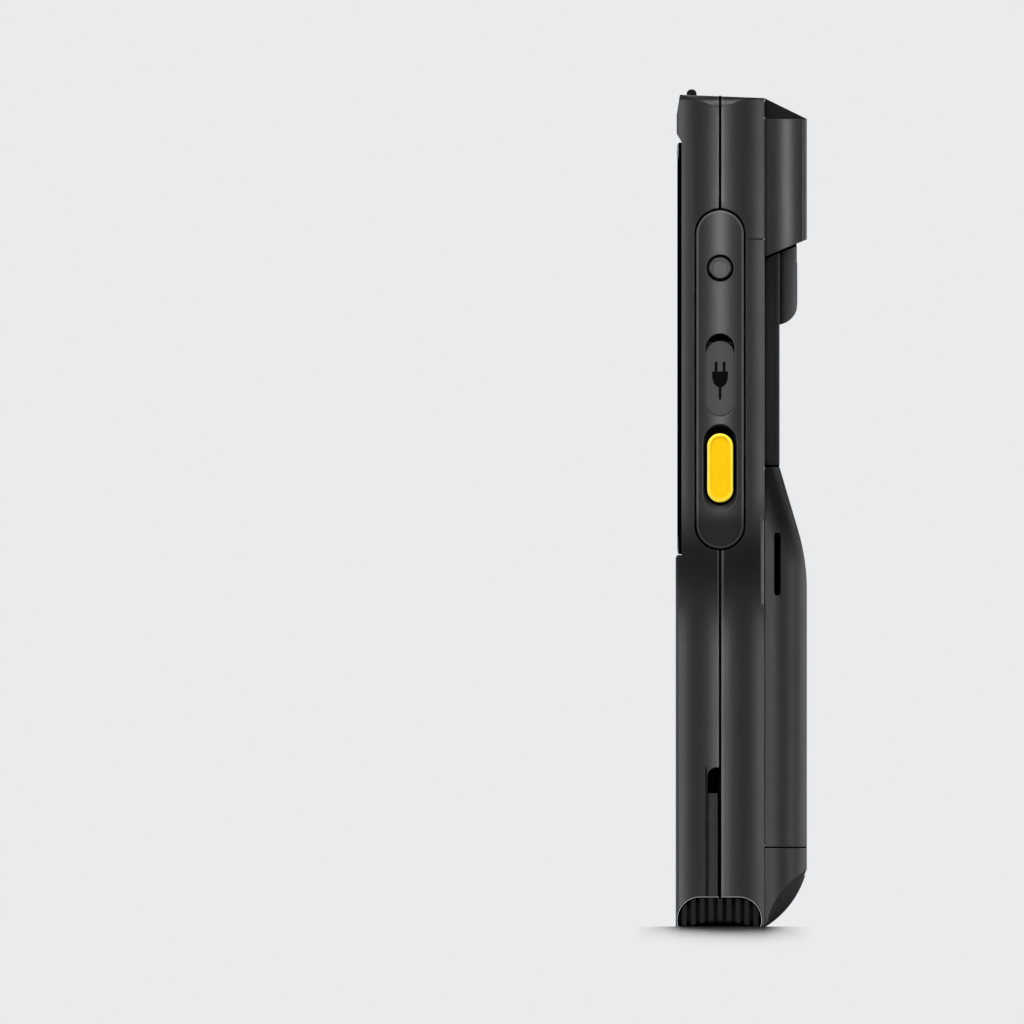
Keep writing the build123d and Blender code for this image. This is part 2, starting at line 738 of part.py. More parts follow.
with BuildPart() as side_plate_left:
    add(inlay.part)
    side_disc(0, 2 * crown, lower_key_height, round_key_hole, mode=Mode.SUBTRACT)
    mirror(about=Plane.YZ, mode=Mode.REPLACE)
finish(side_plate_left, "side_plate_left")

flap_centre = flap_bottom + flap_length / 2
with BuildPart() as side_plate_right:
    add(inlay.part)
    stadium(crown - flap_recess, 2 * crown, flap_centre + flap_notch / 2, flap_width + 4 * fit,
            flap_length + flap_notch + 4 * fit, mode=Mode.SUBTRACT)
    stadium(0, crown, port_height, socket_height + key_gap, socket_width + 2 * key_gap, mode=Mode.SUBTRACT)
finish(side_plate_right, "side_plate_right")


# ---- Side keys: a cap through the inlay, a flange behind it and a stem to the switch
flange_outer = recess_floor - seam
flange_inner = flange_outer - key_flange
switch_face = cavity_side + switch_height
stem_end = switch_face + side_key_travel + 2 * fit


def round_key(height):
    """A round side key on the right side."""
    with BuildPart() as key:
        side_disc(stem_end, flange_inner, height, round_key_radius / 2)
        side_disc(flange_inner, flange_outer, height, round_key_radius + key_flange_lip)
        side_disc(flange_outer, crown - seam, height, round_key_radius)
        rim = key.faces().sort_by(Axis.X)[-1].edges()
        chamfer(rim, length=round_key_bevel)
        with BuildSketch(Plane.YZ.offset(crown - seam)) as dish:
            with Locations((0, height)):
                Circle(round_key_radius - 2 * round_key_bevel)
        extrude(amount=-round_key_dish, mode=Mode.SUBTRACT)
    return key.part


def scan_key():
    """A scan key on the right side."""
    with BuildPart() as key:
        side_disc(stem_end, flange_inner, scan_key_height, round_key_radius / 2)
        stadium(flange_inner, flange_outer, scan_key_height, scan_key_width + 2 * key_flange_lip,
                scan_key_length + 2 * key_flange_lip)
        stadium(flange_outer, crown - 2 * seam, scan_key_height, scan_key_width, scan_key_length)
        rim = key.faces().sort_by(Axis.X)[-1].edges()
        chamfer(rim, length=scan_key_bevel)
        with BuildSketch(Plane.YZ.offset(crown - 2 * seam)) as dish:
            with Locations((0, scan_key_height)):
                SlotOverall(scan_key_length - 4 * scan_key_bevel, scan_key_width - 4 * scan_key_bevel,
                            rotation=90)
        extrude(amount=-round_key_dish, mode=Mode.SUBTRACT)
    return key.part


upper_key_solid = round_key(upper_key_height)
lower_key_solid = round_key(lower_key_height)
scan_key_solid = scan_key()
with BuildPart() as power_key:
    add(upper_key_solid)
finish(power_key, "power_key")
with BuildPart() as volume_up_key:
    add(upper_key_solid)
    mirror(about=Plane.YZ, mode=Mode.REPLACE)
finish(volume_up_key, "volume_up_key")
with BuildPart() as volume_down_key:
    add(lower_key_solid)
    mirror(about=Plane.YZ, mode=Mode.REPLACE)
finish(volume_down_key, "volume_down_key")
with BuildPart() as scan_key_right:
    add(scan_key_solid)
finish(scan_key_right, "scan_key_right")
with BuildPart() as scan_key_left:
    add(scan_key_solid)
    mirror(about=Plane.YZ, mode=Mode.REPLACE)
finish(scan_key_left, "scan_key_left")

# ---- Switch boards behind the inlays
board_bottom = scan_key_height - side_board_width
board_top = upper_key_height + side_board_width / 2
side_board_face = (cavity_side - side_board_thickness, cavity_side)
with BuildPart() as switch_board_right:
    block(side_board_face, both(side_board_width / 2), (board_bottom, board_top))
    block((0, crown), both(socket_height / 2 + fit), around(port_height, socket_width + key_gap),
          mode=Mode.SUBTRACT)
    for height in (upper_key_height, scan_key_height):
        block((cavity_side, switch_face), both(switch_size / 2), around(height, switch_size))
finish(switch_board_right, "switch_board_right")
with BuildPart() as switch_board_left:
    block(side_board_face, both(side_board_width / 2), (board_bottom, board_top))
    for height in (upper_key_height, lower_key_height, scan_key_height):
        block((cavity_side, switch_face), both(switch_size / 2), around(height, switch_size))
    mirror(about=Plane.YZ, mode=Mode.REPLACE)
finish(switch_board_left, "switch_board_left")

# ---- Port flap and socket
with BuildPart() as port_flap:
    add(inlay_bands)
    stadium(crown - flap_recess + fit, crown + path_run, flap_centre, flap_width, flap_length,
            mode=Mode.INTERSECT)
    block((crown - flap_recess - flap_plug + fit, crown - flap_recess + 2 * fit), both(socket_height / 4),
          around(port_height, flap_plug_width))
finish(port_flap, "port_flap")
mouth = crown - socket_mouth
socket_inner = mouth - socket_length
with BuildPart() as usb_socket:
    block((socket_inner, mouth), both(socket_height / 2), around(port_height, socket_width))
    fillet(usb_socket.edges().filter_by(Axis.X), radius=socket_corner)
    stadium(socket_inner + socket_back, crown, port_height, socket_height - 2 * socket_shell,
            socket_width - 2 * socket_shell, mode=Mode.SUBTRACT)
    block((socket_inner + socket_back / 2, mouth - socket_back), both(socket_shell),
          around(port_height, socket_tongue))
finish(usb_socket, "usb_socket")

# ---- Display
with BuildPart() as display_lens:
    slab(both(lens_half_width), (lens_bottom, lens_top),
         (-lens_seat - lens_thickness, -lens_seat), lens_corner)
    chamfer(display_lens.faces().sort_by(Axis.Y)[0].edges(), length=lens_thickness / 3)
finish(display_lens, "display_lens")
with BuildPart() as lcd_panel:
    slab(both(lcd_half_width), (lcd_bottom, lcd_top), (-lens_seat, lcd_thickness - lens_seat), lcd_corner)
finish(lcd_panel, "lcd_panel")

frame_front = lcd_thickness - lens_seat
board_back = -socket_height / 2
board_face = board_back - main_board_thickness
board_side = cavity_side - 2 * side_board_thickness
board_middle = (lcd_bottom + lcd_top) / 2
chip_spots = [
    (board_side / 2, board_middle - 2 * can_gap),
    (board_side / 2, lcd_bottom + 2 * can_gap),
    (can_gap, lcd_bottom + 3 * can_gap),
]
with BuildPart() as mid_frame:
    block(both(board_side), (frame_front, frame_front + board_thickness),
          (lcd_bottom, lcd_top))
    for x in (-standoff_side, standoff_side):
        for z in (lcd_bottom + standoff_end, lcd_top - standoff_end):
            depth_rod(x, z, post_radius, (frame_front + board_thickness - fit, board_face))
finish(mid_frame, "mid_frame")
with BuildPart() as main_board:
    block(both(board_side), (board_face, board_back), (lcd_bottom, lcd_top))
    fillet(main_board.edges().filter_by(Axis.Y), radius=board_corner)
    for x, z in chip_spots:
        block(around(x, chip_size), (board_back - fit, board_back + chip_height), around(z, chip_size))
finish(main_board, "main_board")
with BuildPart() as shield_cans:
    block((can_gap - board_side, -can_gap / 2), (board_back, board_back + can_height),
          (lcd_bottom + can_gap, board_middle - can_gap))
    block((-can_gap, board_side - can_gap), (board_back, board_back + can_height),
          (board_middle + can_gap, lcd_top - can_gap))
    fillet(shield_cans.edges().filter_by(Axis.Y), radius=small_corner)
finish(shield_cans, "shield_cans")
with BuildPart() as earpiece:
    slab(both(earpiece_half_width), around(earpiece_height, earpiece_size),
         (-inner_front, earpiece_thickness - inner_front), small_corner)
finish(earpiece, "earpiece")

# ---- Keypad
with BuildPart() as keypad_board:
    block(both(keypad_half_width), (board_front, board_front + board_thickness),
          (keypad_bottom, keypad_top))
    for x, z in screw_spots[:2]:
        depth_rod(x, z, boss_radius + key_gap, (-front_depth, 0), mode=Mode.SUBTRACT)
    for key_name, x, z, width, height in front_keys:
        depth_rod(x, z, dome_radius, (dome_front, board_front + fit))
finish(keypad_board, "keypad_board")

for key_name, x, z, width, height in front_keys:
    with BuildPart() as front_key:
        slab(around(x, width), around(z, height), (-key_top_depth, flange_front), height * key_roundness)
        chamfer(front_key.faces().sort_by(Axis.Y)[0].edges(), length=key_bevel)
        slab(around(x, width + 2 * key_flange_lip), around(z, height + 2 * key_flange_lip),
             (flange_front, flange_back), height * key_roundness)
    finish(front_key, key_name)

# ---- Waist: back cover, loudspeaker and camera
skirt_slope = (head_split - head_skirt) / (grip_depth - rear_depth)
waist_bottom = door_top + seal_gap


def skirt_height(depth):
    """Height of the head's slanted underside at this depth."""
    return head_skirt + skirt_slope * (depth - rear_depth)


with BuildPart() as back_cover:
    with BuildSketch(Plane.YZ):
        with BuildLine():
            Polyline(
                (rear_depth, waist_bottom),
                (waist_depth, waist_bottom),
                (waist_depth, skirt_height(waist_depth) - seal_gap),
                (rear_depth, skirt_height(rear_depth) - seal_gap),
                close=True,
            )
        make_face()
    extrude(amount=waist_half_width, both=True)
    fillet(back_cover.edges().filter_by(Axis.Z).group_by(Axis.Y)[-1], radius=waist_corner)
    block(both(waist_half_width - wall), (0, waist_depth - wall),
          (waist_bottom + wall, skirt_height(rear_depth) - 2 * wall), mode=Mode.SUBTRACT)
    block(both(camera_block_half + key_gap), (0, 2 * waist_depth),
          around(camera_height, 2 * camera_block_half + 2 * key_gap), mode=Mode.SUBTRACT)
    with BuildSketch(front_plane(waist_depth)):
        with Locations((0, (speaker_bottom + speaker_top) / 2)):
            with GridLocations(1, grille_pitch, 1, grille_count):
                SlotOverall(2 * speaker_half_width - 2 * wall, grille_slot)
    extrude(amount=2 * wall, mode=Mode.SUBTRACT)
finish(back_cover, "back_cover")
with BuildPart() as loudspeaker:
    slab(both(speaker_half_width), (speaker_bottom, speaker_top),
         (waist_depth - wall - speaker_thickness, waist_depth - wall), speaker_corner)
finish(loudspeaker, "loudspeaker")

with BuildPart() as camera_bump:
    with BuildSketch(Plane.YZ):
        with BuildLine():
            foot = ThreePointArc(
                (waist_depth, camera_bottom),
                (waist_depth + camera_fullness * (camera_depth - waist_depth),
                 camera_bottom + camera_toe / 3),
                (camera_depth, camera_bottom + camera_toe),
            )
            Polyline(
                foot @ 1,
                (camera_depth, skirt_height(camera_depth) - seal_gap),
                (waist_depth, skirt_height(waist_depth) - seal_gap),
                foot @ 0,
            )
        make_face()
    extrude(amount=camera_half_width, both=True)
    fillet(camera_bump.edges().filter_by(Axis.Z).group_by(Axis.Y)[-1], radius=waist_corner)
    block(both(camera_block_half + fit), (0, camera_shelf),
          around(camera_height, 2 * camera_block_half + 2 * fit), mode=Mode.SUBTRACT)
    depth_rod(0, camera_height, camera_radius - camera_lip, (0, 2 * camera_depth), mode=Mode.SUBTRACT)
    for x, radius in ((0, camera_radius), (flash_offset, flash_radius)):
        depth_rod(x, camera_height, radius + fit, (camera_depth - lens_thickness, 2 * camera_depth),
                  mode=Mode.SUBTRACT)
finish(camera_bump, "camera_bump")
with BuildPart() as camera_module:
    block(both(camera_block_half), (camera_shelf - camera_block_depth, camera_shelf),
          around(camera_height, 2 * camera_block_half))
    depth_rod(0, camera_height, camera_radius - camera_lip - module_play,
              (camera_shelf, camera_depth - lens_thickness - seam))
    depth_rod(0, camera_height, camera_radius / 3, (camera_shelf, camera_depth), mode=Mode.SUBTRACT)
finish(camera_module, "camera_module")
with BuildPart() as camera_glass:
    for x, radius in ((0, camera_radius), (flash_offset, flash_radius)):
        depth_rod(x, camera_height, radius, (camera_depth - lens_thickness, camera_depth - fit))
finish(camera_glass, "camera_glass")

# ---- Scan engine, looking up through the window
engine_back = grip_depth - wall - 2 * key_gap
with BuildPart() as scan_engine:
    block(both(engine_half_width), (engine_back - engine_depth, engine_back),
          (engine_floor, engine_floor + engine_height))
    chamfer(scan_engine.edges().filter_by(Axis.Z), length=engine_bevel)
finish(scan_engine, "scan_engine")
engine_top = engine_floor + engine_height
with BuildPart() as scan_optics:
    with BuildSketch(Plane.XY.offset(engine_top)):
        with Locations((0, optics_depth)):
            Circle(optics_radius)
        with Locations((-engine_half_width * 0.6, optics_depth), (engine_half_width * 0.6, optics_depth)):
            RectangleRounded(1.6 * optics_radius, 1.4 * optics_radius, optics_radius / 4)
    extrude(amount=optics_height)
finish(scan_optics, "scan_optics")

# ---- Grip: battery, its contacts, the card tray and the hinged door
slope_turn = radians(grip_slope)
bend_start_depth = grip_depth - grip_bend_radius * (1 - cos(slope_turn))
bend_start_height = door_top - (bend_start_depth - waist_depth) / tan(slope_turn)


def grip_form(inset, z_span):
    """The grip's outer form, drawn in by an inset, between two heights."""
    with BuildPart() as form:
        with BuildSketch(Plane.YZ):
            with BuildLine():
                ridge = Line((waist_depth, door_top), (bend_start_depth, bend_start_height))
                bend = JernArc(ridge @ 1, ridge % 1, grip_bend_radius, -grip_slope)
                Polyline(bend @ 1, (grip_depth, 0), (0, 0), (0, door_top), ridge @ 0)
            make_face()
            if inset > 0:
                offset(amount=-inset)
        extrude(amount=head_half_width, both=True)
        with BuildSketch(Plane.XY.offset(-path_run)) as section:
            with Locations((0, grip_depth - inset)):
                Rectangle(2 * (grip_side - inset), 2 * grip_depth, align=(Align.CENTER, Align.MAX))
            fillet(section.vertices().group_by(Axis.Y)[-1], radius=grip_corner_radius - inset)
        extrude(amount=full_length, mode=Mode.INTERSECT)
        block(both(head_half_width), (0, 2 * grip_depth), z_span, mode=Mode.INTERSECT)
    return form.part


door_outer = grip_form(0, (door_bottom, door_top))
door_inner = grip_form(wall, (door_bottom + wall, door_top))
with BuildPart() as slot_ribs:
    for x_low in (grip_side - 2 * wall - slot_rib, 2 * wall - grip_side):
        block((x_low, x_low + slot_rib), (rear_depth + fit, grip_depth),
              around(strap_slot_height, strap_slot_length + 4 * wall))
    add(grip_form(wall / 2, (door_bottom + wall, door_top - wall)), mode=Mode.INTERSECT)
with BuildPart() as battery_door:
    add(door_outer)
    block(both(head_half_width), (rear_depth + fit, 2 * grip_depth), (0, full_length), mode=Mode.INTERSECT)
    add(door_inner, mode=Mode.SUBTRACT)
    add(slot_ribs.part)
    for x_low, x_high in ((grip_side - 2 * wall, crown), (-crown, 2 * wall - grip_side)):
        stadium(x_low, x_high, strap_slot_height, strap_slot_width, strap_slot_length,
                centre_depth=strap_slot_depth, mode=Mode.SUBTRACT)
    block(both(tongue_half_width + key_gap),
          (tongue_depth - key_gap, tongue_depth + tongue_thickness + key_gap),
          (0, door_bottom + 2 * wall), mode=Mode.SUBTRACT)
finish(battery_door, "battery_door")
with BuildPart() as battery_pack:
    block(both(battery_half_width), (bay_floor, bay_floor + battery_thickness),
          (battery_bottom, battery_top))
    fillet(battery_pack.edges().filter_by(Axis.Z), radius=battery_corner)
finish(battery_pack, "battery_pack")
with BuildPart() as battery_contacts:
    block(both(contact_block_half), (contact_block_front, contact_block_front + contact_block_depth),
          (battery_top, battery_top + contact_block_height))
finish(battery_contacts, "battery_contacts")
with BuildPart() as card_tray:
    slab(both(card_half_width), (card_bottom, card_top), (card_floor, rear_depth - key_gap),
         small_corner)
finish(card_tray, "card_tray")

# ---- Tail: bevelled cover and the latch of the battery door
tail_form = grip_form(0, (0, door_bottom - key_gap))
with BuildPart() as tail_bevel:
    for x, (bevel_in, bevel_up) in ((0, bevel_middle), (grip_side + cut_past, bevel_side)):
        with BuildSketch(Plane.YZ.offset(x)):
            with BuildLine():
                curve = ThreePointArc(
                    (grip_depth, bevel_top), (grip_depth - bevel_in, bevel_up), (rear_depth + key_gap, 0)
                )
                Polyline(
                    curve @ 1,
                    (rear_depth + key_gap, -path_run),
                    (2 * grip_depth, -path_run),
                    (2 * grip_depth, bevel_top),
                    curve @ 0,
                )
            make_face()
    loft(ruled=True)
    mirror(about=Plane.YZ)
with BuildPart() as tail_cover:
    add(tail_form)
    block(both(head_half_width), (rear_depth, 2 * grip_depth), (0, full_length), mode=Mode.INTERSECT)
    add(tail_bevel.part, mode=Mode.SUBTRACT)
    block(both(grip_side - grip_corner_radius), (0, tongue_depth - 2 * wall),
          (foot_floor, door_bottom - wall), mode=Mode.SUBTRACT)
    block(both(latch_half_width + key_gap), (tongue_depth - 2 * fit, 2 * grip_depth),
          (latch_bottom - key_gap, latch_bottom + latch_height + latch_travel + key_gap), mode=Mode.SUBTRACT)
    block(both(tongue_half_width + key_gap),
          (tongue_depth - 2 * fit, tongue_depth + tongue_thickness + key_gap),
          (latch_bottom, full_length), mode=Mode.SUBTRACT)
finish(tail_cover, "tail_cover")
with BuildPart() as battery_latch:
    block(both(latch_half_width), (tongue_depth + fit, grip_depth - key_gap),
          (latch_bottom, latch_bottom + latch_height))
    chamfer(battery_latch.edges().filter_by(Axis.X).group_by(Axis.Y)[-1], length=latch_bevel)
    block(both(tongue_half_width), (tongue_depth + fit, tongue_depth + tongue_thickness),
          (latch_bottom + latch_height - fit, door_bottom - seal_gap))
finish(battery_latch, "battery_latch")

# ---- Bottom end: dock rails, ribbed bumper and charging contacts
rail_floor = grip_half_width - groove_depth
with BuildPart() as dock_rail_right:
    block((rail_floor, rail_floor + groove_depth - seal_gap), (-seal_gap - rail_width, -seal_gap),
          (arch_height + seam, rail_top))
finish(dock_rail_right, "dock_rail_right")
with BuildPart() as dock_rail_left:
    add(dock_rail_right.part)
    mirror(about=Plane.YZ, mode=Mode.REPLACE)
finish(dock_rail_left, "dock_rail_left")

bumper_side = grip_half_width - seal_gap
pocket_half_width = contact_pitch * (contact_count - 1) / 2 + 2 * contact_radius
with BuildPart() as bottom_bumper:
    with BuildSketch(Plane.YZ):
        with Locations((-bumper_gap / 2, arch_height - arch_corner)):
            RectangleRounded(arch_width - 2 * bumper_gap, 2 * (arch_corner - bumper_gap),
                             arch_corner - bumper_gap - fit)
    extrude(amount=grip_half_width, both=True)
    with BuildSketch(Plane.YZ):
        with Locations((-bumper_gap / 2, arch_height - arch_corner)):
            RectangleRounded(arch_width - 2 * fit, 2 * (arch_corner - fit), arch_corner - 2 * fit)
    extrude(amount=bumper_web, both=True)
    add(outline.part, mode=Mode.INTERSECT)
    with BuildSketch(Plane.XY.offset(-path_run)):
        SlotOverall(2 * bumper_side, 2 * side_crown_radius)
    extrude(amount=3 * path_run, mode=Mode.INTERSECT)
    for rib in range(-rib_count, rib_count):
        groove_at = (rib + 0.5) * rib_pitch
        set_back = side_crown_radius - sqrt(side_crown_radius**2 - groove_at**2)
        groove_end = bumper_side - set_back - rib_depth
        span = around(groove_at, rib_groove)
        block((groove_end, crown), span, (-cut_past, body_length), mode=Mode.SUBTRACT)
        block((-crown, -groove_end), span, (-cut_past, body_length), mode=Mode.SUBTRACT)
        block((pocket_half_width + wall, crown), span, (-cut_past, rib_depth), mode=Mode.SUBTRACT)
        block((-crown, -pocket_half_width - wall), span, (-cut_past, rib_depth), mode=Mode.SUBTRACT)
    block(both(pocket_half_width), around(contact_depth, 4 * contact_radius), (-cut_past, rib_depth),
          mode=Mode.SUBTRACT)
finish(bottom_bumper, "bottom_bumper")
with BuildPart() as dock_contacts:
    with BuildSketch(Plane.XY.offset(rib_depth)):
        with Locations((0, contact_depth)):
            with GridLocations(contact_pitch, 1, contact_count, 1):
                Circle(contact_radius)
    extrude(amount=-contact_height)
finish(dock_contacts, "dock_contacts")

# ---- Top bead
with BuildPart() as top_bead:
    with BuildSketch(Plane.YZ):
        with Locations((bead_depth, (bead_bottom + bead_top) / 2)):
            RectangleRounded(bead_width, bead_top - bead_bottom, bead_width * 0.45)
    extrude(amount=bead_half_width, both=True)
finish(top_bead, "top_bead")

# ---- Screws, driven from the back
with BuildPart() as housing_screws:
    for x, z in screw_spots:
        depth_rod(x, z, screw_radius, (screw_seat - screw_reach, screw_seat))
        depth_rod(x, z, screw_head_radius, (screw_seat, screw_seat + screw_head_height))
finish(housing_screws, "housing_screws")
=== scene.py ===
# %% [markdown]
# # A hand-held barcode terminal, dressed in Blender
#
# The terminal's solids are already made and packed as a fixed frame. This lesson loads them, gives
# every one of them a finish, adds the small printed and moulded details, and then builds the studio
# that it stands in. Everything is in metres and in the frame's own axes: +X is the user's right, -Y is
# the screen side and +Z runs up the body.

# %% Load the frame
import json
import math

import bmesh
import bpy
from mathutils import Matrix, Vector


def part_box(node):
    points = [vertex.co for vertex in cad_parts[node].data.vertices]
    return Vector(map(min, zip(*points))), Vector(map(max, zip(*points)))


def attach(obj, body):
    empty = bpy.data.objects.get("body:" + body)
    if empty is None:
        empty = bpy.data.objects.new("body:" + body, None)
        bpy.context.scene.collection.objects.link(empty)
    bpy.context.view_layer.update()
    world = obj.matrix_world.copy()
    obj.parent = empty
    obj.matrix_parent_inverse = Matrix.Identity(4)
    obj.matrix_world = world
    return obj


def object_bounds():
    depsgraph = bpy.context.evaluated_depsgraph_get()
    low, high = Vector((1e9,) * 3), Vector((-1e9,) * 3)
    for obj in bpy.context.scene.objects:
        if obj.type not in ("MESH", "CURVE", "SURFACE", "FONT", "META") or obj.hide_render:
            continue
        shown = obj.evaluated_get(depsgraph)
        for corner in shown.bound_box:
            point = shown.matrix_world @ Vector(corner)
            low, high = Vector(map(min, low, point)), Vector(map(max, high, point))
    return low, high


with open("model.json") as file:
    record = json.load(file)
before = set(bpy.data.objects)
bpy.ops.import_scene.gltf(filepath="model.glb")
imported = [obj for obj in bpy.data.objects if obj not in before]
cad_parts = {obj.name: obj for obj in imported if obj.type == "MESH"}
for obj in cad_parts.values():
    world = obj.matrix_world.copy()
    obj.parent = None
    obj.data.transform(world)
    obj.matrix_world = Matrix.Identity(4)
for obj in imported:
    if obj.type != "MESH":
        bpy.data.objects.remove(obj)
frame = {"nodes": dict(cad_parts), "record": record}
nodes = frame["nodes"]
cad_low, cad_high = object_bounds()

# %% [markdown]
# ## Lengths and colours
#
# The solids are read most easily in millimetres, so `MM` turns a millimetre into Blender's metre.
# Colours are picked as they look on a screen, from 0 to 255, but a shader wants linear light.
# `shade` makes that change, so that a charcoal written as 50 also renders as about 50.

# %% Units and colours
MM = 0.001


def shade(red, green, blue):
    """A screen colour from 0 to 255 as linear light."""
    parts = []
    for part in (red, green, blue):
        value = part / 255
        parts.append(value / 12.92 if value <= 0.04045 else ((value + 0.055) / 1.055) ** 2.4)
    return (*parts, 1.0)


print("charcoal in linear light:", [round(part, 3) for part in shade(50, 50, 52)[:3]])

# %% [markdown]
# ## Shader sums written as Python
#
# A material is a graph of nodes. Adding each node by hand hides the idea behind the plumbing, so a
# `Wire` stands for one socket and takes part in ordinary sums: `1 - mask` adds a Math node. A `Finish`
# is one material. Its single `node` method takes the type, the settings, which have to come first
# because they change the sockets, and then what goes into the sockets.

# %% Sockets that add up
class Wire:
    """One socket of a finish, used in sums like a number."""

    def __init__(self, finish, socket):
        self.finish = finish
        self.socket = socket

    def sum(self, operation, first, second):
        return self.finish.node("ShaderNodeMath", {"operation": operation}, {0: first, 1: second})

    def __add__(self, other):
        return self.sum("ADD", self, other)

    def __radd__(self, other):
        return self.sum("ADD", other, self)

    def __sub__(self, other):
        return self.sum("SUBTRACT", self, other)

    def __rsub__(self, other):
        return self.sum("SUBTRACT", other, self)

    def __mul__(self, other):
        return self.sum("MULTIPLY", self, other)

    def __rmul__(self, other):
        return self.sum("MULTIPLY", other, self)

    def __truediv__(self, other):
        return self.sum("DIVIDE", self, other)

    def __gt__(self, other):
        return self.sum("GREATER_THAN", self, other)

    def __lt__(self, other):
        return self.sum("LESS_THAN", self, other)


class Finish:
    """A material whose nodes are made from expressions."""

    def __init__(self, name):
        self.material = bpy.data.materials.new(name)
        self.material.use_nodes = True
        self.tree = self.material.node_tree
        self.shader = self.tree.nodes["Principled BSDF"]

    def node(self, kind, settings=None, inputs=None, output=0):
        made = self.tree.nodes.new(kind)
        for name, value in (settings or {}).items():
            if name == "stops":
                self.set_stops(made.color_ramp, value)
            else:
                setattr(made, name, value)
        for name, value in (inputs or {}).items():
            self.feed(made.inputs[name], value)
        return Wire(self, made.outputs[output])

    def feed(self, socket, value):
        if isinstance(value, Wire):
            self.tree.links.new(value.socket, socket)
        else:
            socket.default_value = value

    def set_stops(self, ramp, stops):
        while len(ramp.elements) < len(stops):
            ramp.elements.new(1.0)
        for element, (place, level) in zip(ramp.elements, stops):
            element.position = place
            element.color = (level, level, level, 1.0)

    def set(self, **values):
        """Feed the shader's own sockets, named with _ in place of spaces."""
        for name, value in values.items():
            self.feed(self.shader.inputs[name.replace("_", " ")], value)

    def place(self):
        """Where a point is on the resting piece, in metres."""
        return self.node("ShaderNodeTexCoord", output="Object")

    def axis(self, letter):
        parts = self.node("ShaderNodeSeparateXYZ", None, {0: self.place()})
        return Wire(self, parts.socket.node.outputs["XYZ".index(letter)])

    def math(self, operation, *values):
        return self.node("ShaderNodeMath", {"operation": operation}, dict(enumerate(values)))

    def across(self):
        """How far a point is from the middle, to the left or to the right."""
        return self.math("ABSOLUTE", self.axis("X"))

    def stadium(self, centre, length, width):
        """0 on the middle line of a long round-ended shape on the side, 1 on its outline."""
        along = self.math("ABSOLUTE", self.axis("Z") - centre)
        past = self.math("MAXIMUM", along - (length - width) / 2, 0.0)
        side = self.axis("Y")
        return self.math("SQRT", side * side + past * past) / (width / 2)

    def within(self, **spans_mm):
        """1 where each named measure lies between its two limits in millimetres, and 0 elsewhere."""
        mask = 1.0
        for name, (low, high) in spans_mm.items():
            value = self.across() if name == "across" else self.axis(name)
            mask = (value > low * MM) * (value < high * MM) * mask
        return mask

    def facing_down(self, least):
        """1 on faces that look down by at least this much."""
        own = self.node("ShaderNodeTexCoord", output="Normal")
        parts = self.node("ShaderNodeSeparateXYZ", None, {0: own})
        return Wire(self, parts.socket.node.outputs["Z"]) < -least

    def noise(self, grain_mm, detail=2.0, stretch=(1.0, 1.0, 1.0)):
        """Soft random value from 0 to 1 whose blotches are about this large."""
        spot = self.node("ShaderNodeVectorMath", {"operation": "MULTIPLY"}, {0: self.place(), 1: stretch})
        return self.node(
            "ShaderNodeTexNoise", None,
            {"Vector": spot, "Scale": 1 / (grain_mm * MM), "Detail": detail}, output="Fac",
        )

    def ramp(self, value, stops):
        return self.node("ShaderNodeValToRGB", {"stops": stops}, {"Fac": value}, output="Color")

    def blend(self, factor, first, second):
        """Mix two colours."""
        return self.node(
            "ShaderNodeMix", {"data_type": "RGBA", "clamp_factor": True},
            {0: factor, 6: first, 7: second}, output=2,
        )

    def rounded(self, radius_mm):
        """The surface's normal, as if every sharp edge had this radius."""
        return self.node("ShaderNodeBevel", {"samples": 6}, {"Radius": radius_mm * MM})

    def edge(self, radius_mm):
        """0 on a flat face, rising to 1 on an edge."""
        flat = self.node("ShaderNodeNewGeometry", output="Normal")
        same = self.node(
            "ShaderNodeVectorMath", {"operation": "DOT_PRODUCT"},
            {0: self.rounded(radius_mm), 1: flat}, output="Value",
        )
        gain = 9.0
        return self.node(
            "ShaderNodeMath", {"operation": "MULTIPLY", "use_clamp": True}, {0: 1 - same, 1: gain},
        )

    def hollow(self, reach_mm, samples=6):
        """1 in the open, falling to 0 in a gap or a hollow."""
        return self.node(
            "ShaderNodeAmbientOcclusion", {"samples": samples, "only_local": False},
            {"Distance": reach_mm * MM}, output="AO",
        )

    def bump(self, height, depth_mm, normal):
        """Relief of this depth on top of a normal."""
        inputs = {"Height": height, "Distance": depth_mm * MM, "Normal": normal}
        return self.node("ShaderNodeBump", None, inputs)


print("a wire knows", len([name for name in vars(Wire) if name.startswith("__")]), "special methods")

# %% [markdown]
# ## Moulded plastic
#
# The housings are charcoal plastic from a spark-eroded mould. Seen close, the skin is a fine satin
# grain of about a fifth of a millimetre. Its colour drifts a little, its gloss is uneven where hands
# rub it, and its edges are rounded and slightly paler: partly wear, and partly a painted highlight.
# Noise textures give the grain and the drift, and a Bevel node rounds the edges in the shading
# without changing the solids.
#
# Narrow gaps and hollows look black on a dark product, because hardly any light gets out of them again,
# so that shade is painted in: an Ambient Occlusion node finds them, and there the colour goes to black
# and Metallic to 1. A black metal has no gloss of its own, so the painted shade stays black from every
# side. Faces that look down get the same painted shade, only less.
#
# Three masks say where a moulding departs from that. `painted_shade` paints shade on a place, in part or
# down to black, `bare` keeps a place from the painted shade of its surroundings, and `rim` gives a place
# a painted highlight in the paler edge colour. Each mask is a function of where a point lies on the resting
# piece.

# %% A function for every moulded plastic
# The colour of the painted shade in gaps and hollows.
PAINTED_SHADE_BLACK = (0.002, 0.002, 0.002, 1.0)


